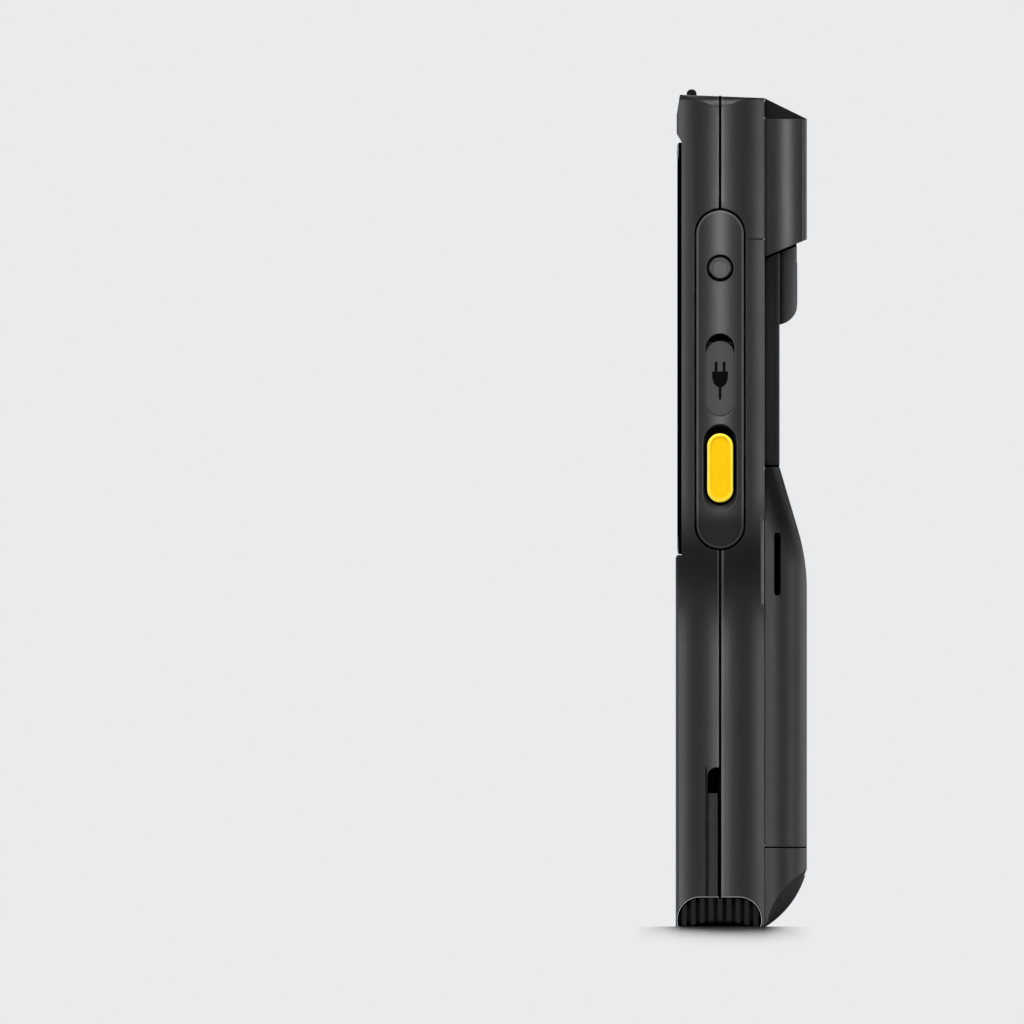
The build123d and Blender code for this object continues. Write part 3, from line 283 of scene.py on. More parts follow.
def moulded(
    name, colour, gloss=0.38, grain=0.22, grain_depth=0.006, edge_gain=2.0, edge_radius=0.25, specular=0.4,
    reach=2.0, wear_and_highlight=None, painted_shade=lambda finish: 0.0, bare=lambda finish: 0.0, rim=lambda finish: 0.0,
):
    finish = Finish(name)
    drift = finish.noise(14.0, detail=3.0)
    fine = finish.noise(grain, detail=1.0)
    rubbed = finish.noise(5.0, detail=4.0, stretch=(1.0, 1.0, 0.4))
    edge = finish.edge(edge_radius)
    dark = tuple(0.90 * part for part in colour[:3]) + (1.0,)
    light = tuple(min(1.0, 1.12 * part) for part in colour[:3]) + (1.0,)
    # The paler edge colour stands for wear and for a painted highlight; the rim mask paints highlights in
    # it too.
    wear_and_highlight = wear_and_highlight or tuple(min(1.0, (1.0 + edge_gain) * part + 0.004) for part in colour[:3]) + (1.0,)
    skin = finish.blend(drift, dark, light)
    skin = finish.blend(finish.math("MAXIMUM", edge * 0.5, rim(finish)), skin, wear_and_highlight)
    # Painted shade: gaps and hollows go to black, and faces that look down part of the way.
    open_air = finish.ramp(finish.hollow(reach), [(0.30, 0.0), (0.65, 1.0)])
    open_air = open_air * (1 - 0.7 * finish.facing_down(0.3))
    open_air = finish.math("MAXIMUM", open_air, bare(finish)) * (1 - painted_shade(finish))
    finish.set(
        Base_Color=finish.blend(open_air, PAINTED_SHADE_BLACK, skin),
        Roughness=gloss + 0.10 * (rubbed - 0.5) + 0.05 * (fine - 0.5) + 0.50 * (1 - open_air),
        Metallic=1 - open_air,
        Normal=finish.bump(fine, grain_depth, finish.rounded(edge_radius)),
        Specular_IOR_Level=specular,
    )
    return finish


# %% [markdown]
# ## Where highlight and shade are painted on the mouldings
#
# Most masks are boxes, so they are written as spans from low to high in millimetres: along Y, along Z, or
# across, which is the distance from the middle to either side. What follows a solid takes its place from
# that solid's own box. A list of stops says how strong a mask is along its way.

# %% Spans and boxes
groove = {"Y": (-3.1, 0.1), "Z": (0.0, 33.9), "across": (30.0, 32.75)}
scoop_beside_slot = {"Y": (8.5, 9.6), "Z": (67.9, 87.1)}
scoop_least_across = 27.0
strap_slot = {"Y": (11.3, 13.0), "Z": (70.1, 83.9), "across": (20.0, 29.45)}
parting_edges = {"Y": (-0.55, 0.80)}
behind_inlay = {"Z": (80.5, 154.0)}
bump_flank = {"across": (13.2, 14.2)}
notch_above_flap = {"Y": (-3.2, 3.2), "Z": (124.2, 126.4)}
scoop_above_key = {"Y": (-3.5, 3.5), "Z": (104.6, 107.2)}
inlay_face = 36.05

door_low, door_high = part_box("battery_door")
waist_low, waist_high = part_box("back_cover")
plate_low, plate_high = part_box("side_plate_right")
plate_middle = (plate_low[2] + plate_high[2]) / 2
plate_long, plate_wide = plate_high[2] - plate_low[2], plate_high[1] - plate_low[1]
print("inlay in mm:", round(plate_long / MM, 1), "by", round(plate_wide / MM, 1))


# %% Masks for the housings
def guide_grooves(finish):
    """The inside of the dock guide grooves, cut into both sides at the bottom end, where shade is painted
    black.
    """
    return finish.within(**groove)


def strap_scoops(finish):
    """The shallow scoops beside the strap slots, which are kept from the painted shade so that they stay
    light.
    """
    return finish.within(**scoop_beside_slot) * (finish.across() > scoop_least_across * MM)


def parting_edge(finish):
    """The rounded edges on both sides of the parting line, which get a painted highlight."""
    return finish.within(**parting_edges) * (1 - finish.within(**behind_inlay))


def housing_shade(finish):
    """Painted shade on the housings: the grooves, the narrowing under the inlays and the top edge."""
    narrowing_depth, narrowing_scale, narrowing_least_across = 0.55, 120.0, 24.0
    top_depth, top_start = 0.45, 175.7
    height = finish.axis("Z")
    narrowing = narrowing_depth * finish.ramp(height / (narrowing_scale * MM), [
        (0.55, 0.0), (0.61, 0.75), (0.64, 1.0), (0.67, 1.0), (0.72, 0.35), (0.77, 0.0),
    ]) * (finish.across() > narrowing_least_across * MM)
    narrowing = narrowing * (1 - strap_scoops(finish)) * (1 - parting_edge(finish))
    top_edge = top_depth * (height > top_start * MM)
    return finish.math("MAXIMUM", guide_grooves(finish), finish.math("MAXIMUM", narrowing, top_edge))


# %% Masks for the grip and the waist
def strap_slots(finish):
    """The inside of the two strap slots in the grip, where shade is painted black."""
    return finish.within(**strap_slot)


def grip_shade(finish):
    """Painted shade: the strap slots, and the dark band that follows the sloping back of the battery door.
    """
    slope = math.radians(16.5)
    band_depth, band_reach, least_across = 0.60, 8.0, 18.0
    band_start, band_fade = 76.0, 10.0
    height = finish.axis("Z")
    back = waist_high[1] + (door_high[2] - height) * math.tan(slope)
    inward = finish.math("MINIMUM", back, door_high[1]) - finish.axis("Y")
    band = finish.ramp(inward / (band_reach * MM), [
        (0.08, 0.0), (0.24, 1.0), (0.44, 1.0), (0.62, 0.45), (0.80, 0.0),
    ])
    upper = finish.ramp((height - band_start * MM) / (band_fade * MM), [(0.0, 0.0), (1.0, 1.0)])
    on_side = finish.across() > least_across * MM
    return finish.math("MAXIMUM", strap_slots(finish), band_depth * band * upper * on_side)


def bump_side(finish):
    """The rounded sides of the camera bump, which turn towards the light at the back, get a painted
    highlight.
    """
    rise = 4.0
    height = finish.ramp((finish.axis("Y") - waist_high[1]) / (rise * MM), [(0.10, 0.0), (0.90, 1.0)])
    return height * finish.within(**bump_flank)


# %% Masks for the inlays
def plate_rim(finish):
    """A painted highlight round the rim of the side inlays."""
    outline = finish.stadium(plate_middle, plate_long, plate_wide)
    return 0.8 * finish.ramp(outline, [(0.90, 0.0), (0.93, 1.0)])


def plate_hollows(finish):
    """Painted shade in the notch above the flap, the upper end of the scoop round the scan key, and the
    lower end.
    """
    end_scale = 100.0
    hollows = finish.math("MAXIMUM", finish.within(**notch_above_flap), finish.within(**scoop_above_key))
    hollows = hollows * (finish.across() < inlay_face * MM)
    lower_end = finish.ramp(finish.axis("Z") / (end_scale * MM), [(0.86, 0.48), (0.895, 0.0)])
    return finish.math("MAXIMUM", hollows, lower_end)


# %% The moulded finishes
finishes = {
    "housing_plastic": moulded(
        "housing_plastic", shade(28, 28, 29), wear_and_highlight=shade(58, 58, 59), painted_shade=housing_shade,
        bare=strap_scoops, rim=parting_edge,
    ),
    "grip_plastic": moulded("grip_plastic", shade(25, 25, 26), gloss=0.48, painted_shade=grip_shade),
    "waist_plastic": moulded(
        "waist_plastic", shade(20, 20, 21), gloss=0.6, specular=0.15, wear_and_highlight=shade(92, 92, 93),
        rim=bump_side,
    ),
    "inlay_plastic": moulded(
        "inlay_plastic", shade(32, 32, 33), wear_and_highlight=shade(78, 78, 80), painted_shade=plate_hollows, rim=plate_rim,
    ),
    "side_key_black": moulded("side_key_black", shade(40, 40, 42), gloss=0.42, edge_gain=4.0),
    "rail_plastic": moulded(
        "rail_plastic", shade(46, 46, 47), gloss=0.8, specular=0.1, edge_gain=0.2, reach=0.4,
    ),
    "latch_plastic": moulded("latch_plastic", shade(70, 70, 72), gloss=0.40),
    "tray_grey": moulded("tray_grey", shade(90, 90, 92), gloss=0.5),
    "module_black": moulded("module_black", shade(30, 30, 32), gloss=0.5),
    "battery_wrap": moulded("battery_wrap", shade(58, 60, 64), gloss=0.35, grain=0.6),
}
print("moulded finishes:", len(finishes))

# %% [markdown]
# ## Scan key yellow
#
# The scan keys are the one warm colour. They are moulded in a coloured plastic with a fine grain and
# hardly any gloss, so they stay yellow in every light. The bevelled rim gets a painted highlight in paler
# yellow. Painted shade turns the flange behind the hole, the lower half of the wall and the very outline
# black, like the gap round the key.

# %% The yellow keys
scan_low, scan_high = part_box("scan_key_right")
scan_middle = (scan_low[2] + scan_high[2]) / 2
scan_long, scan_wide = 15.0, 5.8
side_keys_start, side_wall_top, front_flange_start = 30.0, 35.1, -8.4


def key_outline(finish):
    return finish.stadium(scan_middle, scan_long * MM, scan_wide * MM)


def key_rim(finish):
    """The bevelled rim of the two side keys, which gets a painted highlight."""
    bevel = finish.ramp(key_outline(finish), [(0.74, 0.0), (0.80, 1.0)])
    return bevel * (finish.across() > side_keys_start * MM)


def key_flange(finish):
    """Painted shade on a key's flange behind its hole, the lower half of a side key's wall, and its
    outline.
    """
    on_side = finish.across() > side_keys_start * MM
    beside = finish.math("MAXIMUM", finish.across() < side_wall_top * MM, key_outline(finish) > 0.94)
    behind = (1 - on_side) * (finish.axis("Y") > front_flange_start * MM)
    return finish.math("MAXIMUM", on_side * beside, behind)


def key_top(finish):
    """The side keys' tops and bevels, kept from the painted shade also where the bevel looks down."""
    return finish.across() > side_wall_top * MM


yellow = moulded(
    "scan_key_yellow", shade(250, 190, 2), gloss=0.55, grain=0.12, grain_depth=0.003,
    edge_radius=0.30, specular=0.06, reach=0.3, wear_and_highlight=shade(255, 232, 70), painted_shade=key_flange,
    bare=key_top, rim=key_rim,
)
finishes["scan_key_yellow"] = yellow
print("yellow in linear light:", [round(part, 2) for part in shade(250, 190, 2)[:3]])

# %% [markdown]
# ## Rubber
#
# The flap, the front keys, the bumper and the seal are soft. Rubber scatters light, so it is rougher
# than the housings, and it holds a trace of pale dust in its pores. The dust is a noise with its low
# values cut away, which a colour ramp does.

# %% A function for every rubber
def rubber(name, colour, gloss=0.62, dust=0.10, edge_radius=0.25, reach=1.5, specular=0.3):
    finish = Finish(name)
    pores = finish.noise(0.35, detail=3.0)
    cloud = finish.noise(9.0, detail=3.0)
    dusty = finish.ramp(cloud * pores * 2.0, [(0.45, 0.0), (0.85, 1.0)])
    pale = tuple(min(1.0, 1.5 * part + 0.01) for part in colour[:3]) + (1.0,)
    skin = finish.blend(dusty * dust, colour, pale)
    skin = finish.blend(finish.edge(edge_radius) * 0.35, skin, pale)
    # Painted shade: gaps and hollows go to black, with Metallic 1 so that they keep no gloss.
    open_air = finish.ramp(finish.hollow(reach), [(0.25, 0.0), (0.60, 1.0)])
    finish.set(
        Base_Color=finish.blend(open_air, PAINTED_SHADE_BLACK, skin),
        Roughness=gloss + 0.12 * (cloud - 0.5) + 0.3 * (1 - open_air),
        Metallic=1 - open_air,
        Normal=finish.bump(pores, 0.008, finish.rounded(edge_radius)),
        Specular_IOR_Level=specular,
    )
    return finish


finishes["flap_rubber"] = rubber("flap_rubber", shade(54, 54, 55), gloss=0.5)
finishes["front_key_grey"] = rubber("front_key_grey", shade(62, 62, 65), gloss=0.5)
finishes["bumper_rubber"] = rubber("bumper_rubber", shade(15, 15, 16), gloss=0.7, reach=2.2, specular=0.2)
finishes["seal_rubber"] = rubber("seal_rubber", shade(3, 3, 3), gloss=0.9, dust=0.0, specular=0.05)
print("finishes so far:", len(finishes))

# %% [markdown]
# ## Glass and dark windows
#
# The screen's glass is printed black around its edge, and the display behind it is off. The two
# blacks differ a little: the display is bluish and the printed border is neutral. Both lie under the
# same polished glass, which is why only the colour changes and the gloss doesn't. Faint smears change
# the roughness by a hair. The sides of the glass are ground, so they are dull and nearly black.

# %% Screen glass and windows
SMEARS = 0.05


def smears(finish):
    return finish.noise(18.0, detail=4.0, stretch=(1.0, 1.0, 0.35))


def polished(name, colour, gloss=0.06, specular=0.5):
    finish = Finish(name)
    smear = smears(finish)
    pale = tuple(1.3 * part + 0.001 for part in colour[:3]) + (1.0,)
    finish.set(
        Base_Color=finish.blend(smear * 0.3, colour, pale),
        Roughness=gloss + SMEARS * smear,
        Normal=finish.rounded(0.2),
        IOR=1.52,
        Specular_IOR_Level=specular,
    )
    return finish


lens_low, lens_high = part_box("display_lens")
lens_front, lens_side = lens_low[1], lens_high[0]
screen_half_width = 27.5 * MM
screen_low, screen_high = 86.0 * MM, 162.0 * MM
polished_depth, rim_width = 0.25 * MM, 0.35 * MM
border_black, display_black, rim_black = shade(9, 9, 10), shade(17, 19, 24), shade(3, 3, 3)
screen = polished("lens_glass", border_black)
across = screen.across()
up = screen.axis("Z")
inside = (across < screen_half_width) * (up > screen_low) * (up < screen_high)
ground_side = screen.axis("Y") > lens_front + polished_depth
rim = screen.math("MAXIMUM", ground_side, across > lens_side - rim_width)
screen.set(
    Base_Color=screen.blend(rim, screen.blend(inside, border_black, display_black), rim_black),
    Roughness=0.06 + SMEARS * smears(screen) + 0.85 * rim,
    Metallic=rim,
)
finishes["lens_glass"] = screen
finishes["window_plastic"] = polished("window_plastic", shade(10, 8, 9), gloss=0.55, specular=0.12)
finishes["lcd_dark"] = polished("lcd_dark", shade(22, 24, 28), gloss=0.2)
finishes["optics_red"] = polished("optics_red", shade(92, 14, 18), gloss=0.08)
print("screen in mm:", round(2 * screen_half_width / MM), "by", round((screen_high - screen_low) / MM))

# %% [markdown]
# Two round windows share the camera's glass: the lens in the middle, and the flash beside it. Under the
# lens's glass lie rings of black metal round a violet front element, so the colour follows the distance
# from the lens's axis. The flash shows the pale yellow of its phosphor.

# %% Camera glass
camera_low, camera_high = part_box("camera_glass")
camera_place = Vector((0.0, camera_high[1], (camera_low[2] + camera_high[2]) / 2))
camera_radius = (camera_high[2] - camera_low[2]) / 2
optic = polished("camera_glass", shade(12, 13, 18))
in_plane = optic.node(
    "ShaderNodeVectorMath", {"operation": "MULTIPLY"}, {0: optic.place(), 1: (1.0, 0.0, 1.0)},
)
from_axis = optic.node(
    "ShaderNodeVectorMath", {"operation": "DISTANCE"}, {0: in_plane, 1: (0.0, 0.0, camera_place[2])},
    output="Value",
) / camera_radius
rings = optic.ramp(from_axis, [
    (0.0, 0.25), (0.24, 0.9), (0.30, 0.05), (0.52, 0.3), (0.56, 0.02), (0.80, 0.06),
])
lens_colour = optic.blend(rings, shade(5, 5, 6), shade(70, 62, 110))
beyond_lens = from_axis > 1.2
optic.set(Base_Color=optic.blend(beyond_lens, lens_colour, shade(226, 208, 120)))
finishes["camera_glass"] = optic
print("lens diameter in mm:", round(2 * camera_radius / MM, 1))

# %% [markdown]
# ## Metals and circuit boards
#
# The inner pieces come into view only when the door or the flap is open. The metals are told apart by
# colour and by the grain of their rolling or plating: a noise that is stretched along one axis. The
# boards get a green solder mask with copper tracks that show faintly through it, from a brick pattern.

# %% Metals
def metal(name, colour, gloss=0.32, stretch=(1.0, 1.0, 0.06)):
    finish = Finish(name)
    streak = finish.noise(0.4, detail=3.0, stretch=stretch)
    tarnish = finish.noise(3.0, detail=3.0)
    dull = tuple(0.75 * part for part in colour[:3]) + (1.0,)
    finish.set(
        Base_Color=finish.blend(tarnish * 0.6, colour, dull),
        Metallic=1.0,
        Roughness=gloss + 0.18 * (streak - 0.5),
        Normal=finish.bump(streak, 0.004, finish.rounded(0.15)),
    )
    return finish


finishes["frame_metal"] = metal("frame_metal", shade(196, 198, 202), gloss=0.45, stretch=(1.0, 1.0, 1.0))
finishes["can_metal"] = metal("can_metal", shade(205, 204, 200), gloss=0.30)
finishes["socket_metal"] = metal("socket_metal", shade(190, 190, 192), gloss=0.28)
finishes["screw_metal"] = metal("screw_metal", shade(120, 120, 124), gloss=0.34, stretch=(1.0, 0.1, 1.0))
finishes["contact_gold"] = metal("contact_gold", shade(226, 182, 96), gloss=0.22)

# %% Circuit boards
board = Finish("board_green")
tracks_per_metre = 260.0
grid = board.node(
    "ShaderNodeVectorMath", {"operation": "SCALE"}, {0: board.place(), "Scale": tracks_per_metre},
)
tracks = board.node(
    "ShaderNodeTexBrick", {"offset": 0.35}, {"Vector": grid, "Mortar Size": 0.03, "Scale": 2.0},
    output="Fac",
)
board.set(
    Base_Color=board.blend(tracks * 0.6, shade(20, 74, 44), shade(58, 104, 60)),
    Roughness=0.34 + 0.08 * board.noise(2.0),
    Normal=board.bump(tracks, 0.03, board.rounded(0.1)),
)
finishes["board_green"] = board
print("finishes:", sorted(finishes))

# %% [markdown]
# ## Dress the solids
#
# Every solid knows the slot that the record gives it, and the slot's name picks the finish. The meshes
# themselves stay as they came: only the material slots are filled.

# %% Give each solid its finish
slot_of = {entry["node"]: entry["material_slot"] for entry in frame["record"]["subparts"]}
for name, solid in nodes.items():
    finish = finishes[slot_of[name]]
    if not solid.material_slots:
        solid.data.materials.append(finish.material)
    for slot in solid.material_slots:
        slot.material = finish.material
print("dressed solids:", len(nodes))

# %% [markdown]
# ## Small pieces: a helper that finishes each one
#
# The printed signs, seals and marks are too small to be worth a solid, so they are built here as meshes.
# Each is drawn in a bmesh, which is Blender's editable mesh, and `piece` does what all of them share: it
# turns the normals outwards, gives the finish, and lets the piece ride on the body that carries it.

# %% Piece helper
def piece(name, form, finish, body):
    bmesh.ops.recalc_face_normals(form, faces=form.faces)
    mesh = bpy.data.meshes.new(name)
    form.to_mesh(mesh)
    form.free()
    mesh.materials.append(finish.material)
    made = bpy.data.objects.new(name, mesh)
    bpy.context.scene.collection.objects.link(made)
    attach(made, body)
    return made


def prism(form, outline, push):
    """Raise a closed outline into a thin solid."""
    push = Vector(push)
    lower = [form.verts.new(point) for point in outline]
    upper = [form.verts.new(Vector(point) + push) for point in outline]
    form.faces.new(lower)
    form.faces.new(upper)
    for i in range(len(outline)):
        form.faces.new((lower[i - 1], lower[i], upper[i], upper[i - 1]))


def slab(form, low, high):
    """A box between two corners, in metres."""
    corners = [(low[0], low[2]), (high[0], low[2]), (high[0], high[2]), (low[0], high[2])]
    prism(form, [(x, low[1], z) for x, z in corners], (0.0, high[1] - low[1], 0.0))


# %% [markdown]
# ## Seals
#
# A terminal that can be dropped in a puddle has soft seals behind each cover. One runs round under the
# battery door and fills the slit above it, and one lies under the scan window. They are thin black
# frames, made of four bars each, and they close the slits that light would otherwise shine through.
# Foam does the same in the seams between the other covers.

# %% Door and window seals
def seal_frame(name, low, high, width, extra=()):
    """Four bars that frame a rectangle in X and Z, and any further bars."""
    form = bmesh.new()
    slab(form, low, (low[0] + width, high[1], high[2]))
    slab(form, (high[0] - width, low[1], low[2]), high)
    slab(form, (low[0] + width, low[1], low[2]), (high[0] - width, high[1], low[2] + width))
    slab(form, (low[0] + width, low[1], high[2] - width), (high[0] - width, high[1], high[2]))
    for bar in extra:
        slab(form, *bar)
    return piece(name, form, finishes["seal_rubber"], "terminal")


window_low, window_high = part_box("scan_window")
inset = 0.4 * MM
hair = 0.05 * MM
seal_below, seal_above = 0.12 * MM, 0.10 * MM
slit_filler = (
    (waist_low[0] + inset, door_low[1] - 2 * hair, door_high[2] - 2 * hair),
    (waist_high[0] - inset, waist_high[1] - hair, waist_low[2] + 2 * hair),
)
door_seal = seal_frame(
    "door_seal",
    (door_low[0] + inset, door_low[1] - seal_below, door_low[2] + inset),
    (door_high[0] - inset, door_low[1] + seal_above, door_high[2] - inset),
    1.4 * MM, [slit_filler],
)
window_seal = seal_frame(
    "window_seal",
    (window_low[0] + 2 * inset, window_low[1] - seal_below, window_low[2] + inset),
    (window_high[0] - 2 * inset, window_low[1] + seal_above, window_high[2] - 2 * inset),
    1.2 * MM,
)
print("seals:", door_seal.name, window_seal.name)


# %% Foam in the seams between the covers
def foam(name, *bars_mm):
    """Black foam bars; each is given for the right side in millimetres and made on both."""
    form = bmesh.new()
    for low, high in bars_mm:
        for side in (-1, 1):
            ends = sorted((side * low[0] * MM, side * high[0] * MM))
            slab(form, (ends[0], low[1] * MM, low[2] * MM), (ends[1], high[1] * MM, high[2] * MM))
    return piece(name, form, finishes["seal_rubber"], "terminal")


foam(
    "parting_foam",
    ((31.7, -0.25, 152.2), (33.9, 0.25, 153.6)), ((31.7, -0.25, 79.0), (33.9, 0.25, 80.3)),
    ((20.0, -0.25, 5.9), (30.4, 0.25, 6.9)), ((10.0, -0.25, 175.7), (30.0, 0.25, 176.55)),
)
foam("head_foam", ((31.6, 0.4, 145.7), (33.4, 9.3, 146.4)))
foam("tail_foam", ((8.0, 9.4, 16.55), (20.0, 18.4, 17.05)))
head_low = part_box("head_cover")[0]
bump_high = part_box("camera_bump")[1]
strip_drop, strip_height = 0.55 * MM, 0.6 * MM
seam_start = (waist_low[1] - hair, head_low[2] - strip_drop)
seam_end = (bump_high[1] - hair, bump_high[2] - 2 * hair)
form = bmesh.new()
upper_edge = [(y, z + strip_height) for y, z in (seam_end, seam_start)]
half = bump_high[0] - inset
prism(form, [(-half, y, z) for y, z in (seam_start, seam_end, *upper_edge)], (2 * half, 0.0, 0.0))
piece("skirt_foam", form, finishes["seal_rubber"], "terminal")
print("foam fills four seams")

# %% [markdown]
# ## Signs on the front keys
#
# The signs on the keys are printed in pale ink. The numbers come from Blender's own font as text curves
# that are turned into meshes, and the arrows, the house and the bars are outlines of a few points. Each
# sign rides on its own key, so it goes down with it.

# %% Ink
ink = moulded("sign_ink", shade(196, 196, 198), gloss=0.5, grain=0.1, edge_gain=0.0, reach=0.1)
dark_ink = moulded(
    "dark_ink", shade(5, 5, 5), gloss=0.8, grain=0.1, edge_gain=0.0, specular=0.05, reach=0.1,
)
INK = 0.04 * MM
print("ink stands", INK / MM, "mm above the key")


# %% Numbers
def key_face(key):
    """The middle of a front key's face."""
    low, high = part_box(key)
    return Vector(((low[0] + high[0]) / 2, low[1], (low[2] + high[2]) / 2))


def text_form(text, height):
    """A bmesh of one sign from the built-in font, standing up in X and Z and looking towards -Y."""
    curve = bpy.data.curves.new("sign", "FONT")
    curve.body = text
    curve.size = height
    curve.align_x = curve.align_y = "CENTER"
    curve.extrude = INK
    carrier = bpy.data.objects.new("sign", curve)
    bpy.context.scene.collection.objects.link(carrier)
    bpy.context.view_layer.update()
    mesh = bpy.data.meshes.new_from_object(carrier.evaluated_get(bpy.context.evaluated_depsgraph_get()))
    bpy.data.objects.remove(carrier)
    bpy.data.curves.remove(curve)
    form = bmesh.new()
    form.from_mesh(mesh)
    bpy.data.meshes.remove(mesh)
    bmesh.ops.remove_doubles(form, verts=form.verts, dist=0.001 * MM)
    bmesh.ops.transform(form, matrix=Matrix.Rotation(math.pi / 2, 4, "X"), verts=form.verts)
    return form


sign_size = 4.6 * MM
signs = {f"key_{number}": str(number) for number in range(10)}
signs["key_star"] = "*"
signs["key_hash"] = "#"
for key, text in signs.items():
    form = text_form(text, sign_size)
    bmesh.ops.translate(form, vec=key_face(key), verts=form.verts)
    piece(f"sign_{key[4:]}", form, ink, key)
print("number signs:", len(signs))


# %% Pictures on the other keys
def bars(*places):
    """Upright or level bars as outlines, each from left, bottom, right and top in millimetres."""
    return [[(a, b), (c, b), (c, d), (a, d)] for a, b, c, d in places]


ARROW = [(1.5, 0.0), (-1.0, 1.6), (-1.0, -1.6)]
pictures = {
    "key_left": [[(-x, z) for x, z in ARROW]],
    "key_right": [ARROW],
    "key_home": [[(0, 1.9), (-2, 0.1), (-1.3, 0.1), (-1.3, -1.6), (1.3, -1.6), (1.3, 0.1), (2, 0.1)]],
    "key_back": [[(-2.1, 0.5), (-0.5, 1.8), (-0.5, 0.9), (2, 0.9), (2, -1.5), (1.2, -1.5), (1.2, 0.1),
                  (-0.5, 0.1), (-0.5, -0.8)]],
    "key_menu": bars((-1.8, 0.8, 1.8, 1.3), (-1.8, -0.25, 1.8, 0.25), (-1.8, -1.3, 1.8, -0.8)),
    "scan_key_front": bars(
        (-4.1, -2, -3.5, 2), (-2.9, -2, -2.6, 2), (-2.1, -2, -1.2, 2), (-0.6, -2, -0.3, 2),
        (0.3, -2, 0.8, 2), (1.3, -2, 1.6, 2), (2.2, -2, 3.0, 2), (3.6, -2, 3.9, 2),
    ),
}
for key, outlines in pictures.items():
    form = bmesh.new()
    face = key_face(key)
    for outline in outlines:
        points = [(face[0] + x * MM, face[1] + INK, face[2] + z * MM) for x, z in outline]
        prism(form, points, (0.0, -2 * INK, 0.0))
    piece(f"sign_{key.removeprefix('key_')}", form, dark_ink if key == "scan_key_front" else ink, key)
print("picture signs:", len(pictures))

# %% [markdown]
# ## Plus and minus on the volume keys
#
# The volume keys have to be told apart by touch, so their signs are raised bars in the key's own
# plastic. They stand in the dish of each round key.

# %% Raised signs
def touch_sign(key, bars_mm):
    """Bars in the dish of a key on the left side, each from half its length and half its height."""
    sunk, root = 0.03 * MM, 0.60 * MM
    low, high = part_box(key)
    middle_up = (low[2] + high[2]) / 2
    form = bmesh.new()
    for half_length, half_height in bars_mm:
        slab(
            form,
            (low[0] + sunk, -half_length * MM, middle_up - half_height * MM),
            (low[0] + root, half_length * MM, middle_up + half_height * MM),
        )
    return piece(f"{key}_sign", form, finishes["side_key_black"], key)


level_bar, upright_bar = (1.3, 0.25), (0.25, 1.3)
touch_sign("volume_up_key", [level_bar, upright_bar])
touch_sign("volume_down_key", [level_bar])
print("raised signs stand in the keys' dishes")

# %% [markdown]
# ## The plug sign on the flap
#
# A plain plug is printed on the flap, to say what lies behind it. The flap's face is part of a large
# cylinder, so a flat sign would sink into it in the middle. The sign is therefore cut into narrow
# columns, and each corner is set at the cylinder's own height.

# %% Plug sign
flap_low, flap_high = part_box("port_flap")
crown_radius = 16.4 * MM
crown_centre = flap_high[0] - crown_radius


def on_crown(y, z, lift):
    return (crown_centre + math.sqrt(crown_radius**2 - y**2) + lift, y, z)


def wrapped(form, left, right, bottom, top, steps=10):
    """A strip of columns on the flap; bottom and top are functions of how far across it is."""
    proud, sunk = 0.004 * MM, -0.3 * MM
    rows = []
    for step in range(steps + 1):
        y = left + (right - left) * step / steps
        corners = [(bottom(y), proud), (top(y), proud), (top(y), sunk), (bottom(y), sunk)]
        rows.append([form.verts.new(on_crown(y, z, lift)) for z, lift in corners])
    for near, far in zip(rows, rows[1:]):
        for i in range(4):
            form.faces.new((near[i - 1], near[i], far[i], far[i - 1]))
    form.faces.new(rows[0])
    form.faces.new(rows[-1])


sign_middle = (flap_low[2] + flap_high[2]) / 2 - 0.3 * MM
plug_half, stroke_half, prong_offset = 1.7 * MM, 0.3 * MM, 0.85 * MM
cord_bottom, cord_top, plug_top, prong_top = -4.2, -1.5, 1.8, 3.9


def level(height_mm):
    return lambda y: sign_middle + height_mm * MM


def plug_bottom(y):
    return sign_middle + (0.6 - 2.2 * math.sqrt(max(0.0, 1 - (y / plug_half) ** 2))) * MM


form = bmesh.new()
wrapped(form, -plug_half, plug_half, plug_bottom, level(plug_top))
for side in (-1, 1):
    wrapped(
        form, side * prong_offset - stroke_half, side * prong_offset + stroke_half,
        level(plug_top), level(prong_top), steps=2,
    )
wrapped(form, -stroke_half, stroke_half, level(cord_bottom), level(cord_top), steps=2)
piece("flap_sign", form, dark_ink, "port_flap")
print("plug sign height in mm:", round(prong_top - cord_bottom, 1))

# %% [markdown]
# ## Turned pieces
#
# The ring round the camera, the status light and the light sensor are all turned forms: a short profile
# of radius and height, spun round an axis. `turned` builds the rings of points and joins them.

# %% Camera ring and the lights by the screen
def turned(form, centre, profile, outward, steps=48):
    """Spin a profile of (radius, height) round an axis along Y; outward is +1 or -1."""
    rings = []
    for radius, height in profile:
        ring = []
        for step in range(steps):
            turn = 2 * math.pi * step / steps
            ring.append(form.verts.new((
                centre[0] + radius * math.cos(turn),
                centre[1] + outward * height,
                centre[2] + radius * math.sin(turn),
            )))
        rings.append(ring)
    for inner, outer in zip(rings, rings[1:]):
        for i in range(steps):
            form.faces.new((inner[i - 1], inner[i], outer[i], outer[i - 1]))
    return rings


form = bmesh.new()
ring_base = Vector((0.0, bump_high[1], camera_place[2]))
ring_profile = [
    (3.75, -0.2), (3.75, 0.02), (3.90, 0.10), (4.45, 0.12), (4.70, 0.05), (4.80, -0.2), (3.75, -0.2),
]
turned(form, ring_base, [(radius * MM, height * MM) for radius, height in ring_profile], 1)
piece("camera_ring", form, finishes["screw_metal"], "terminal")

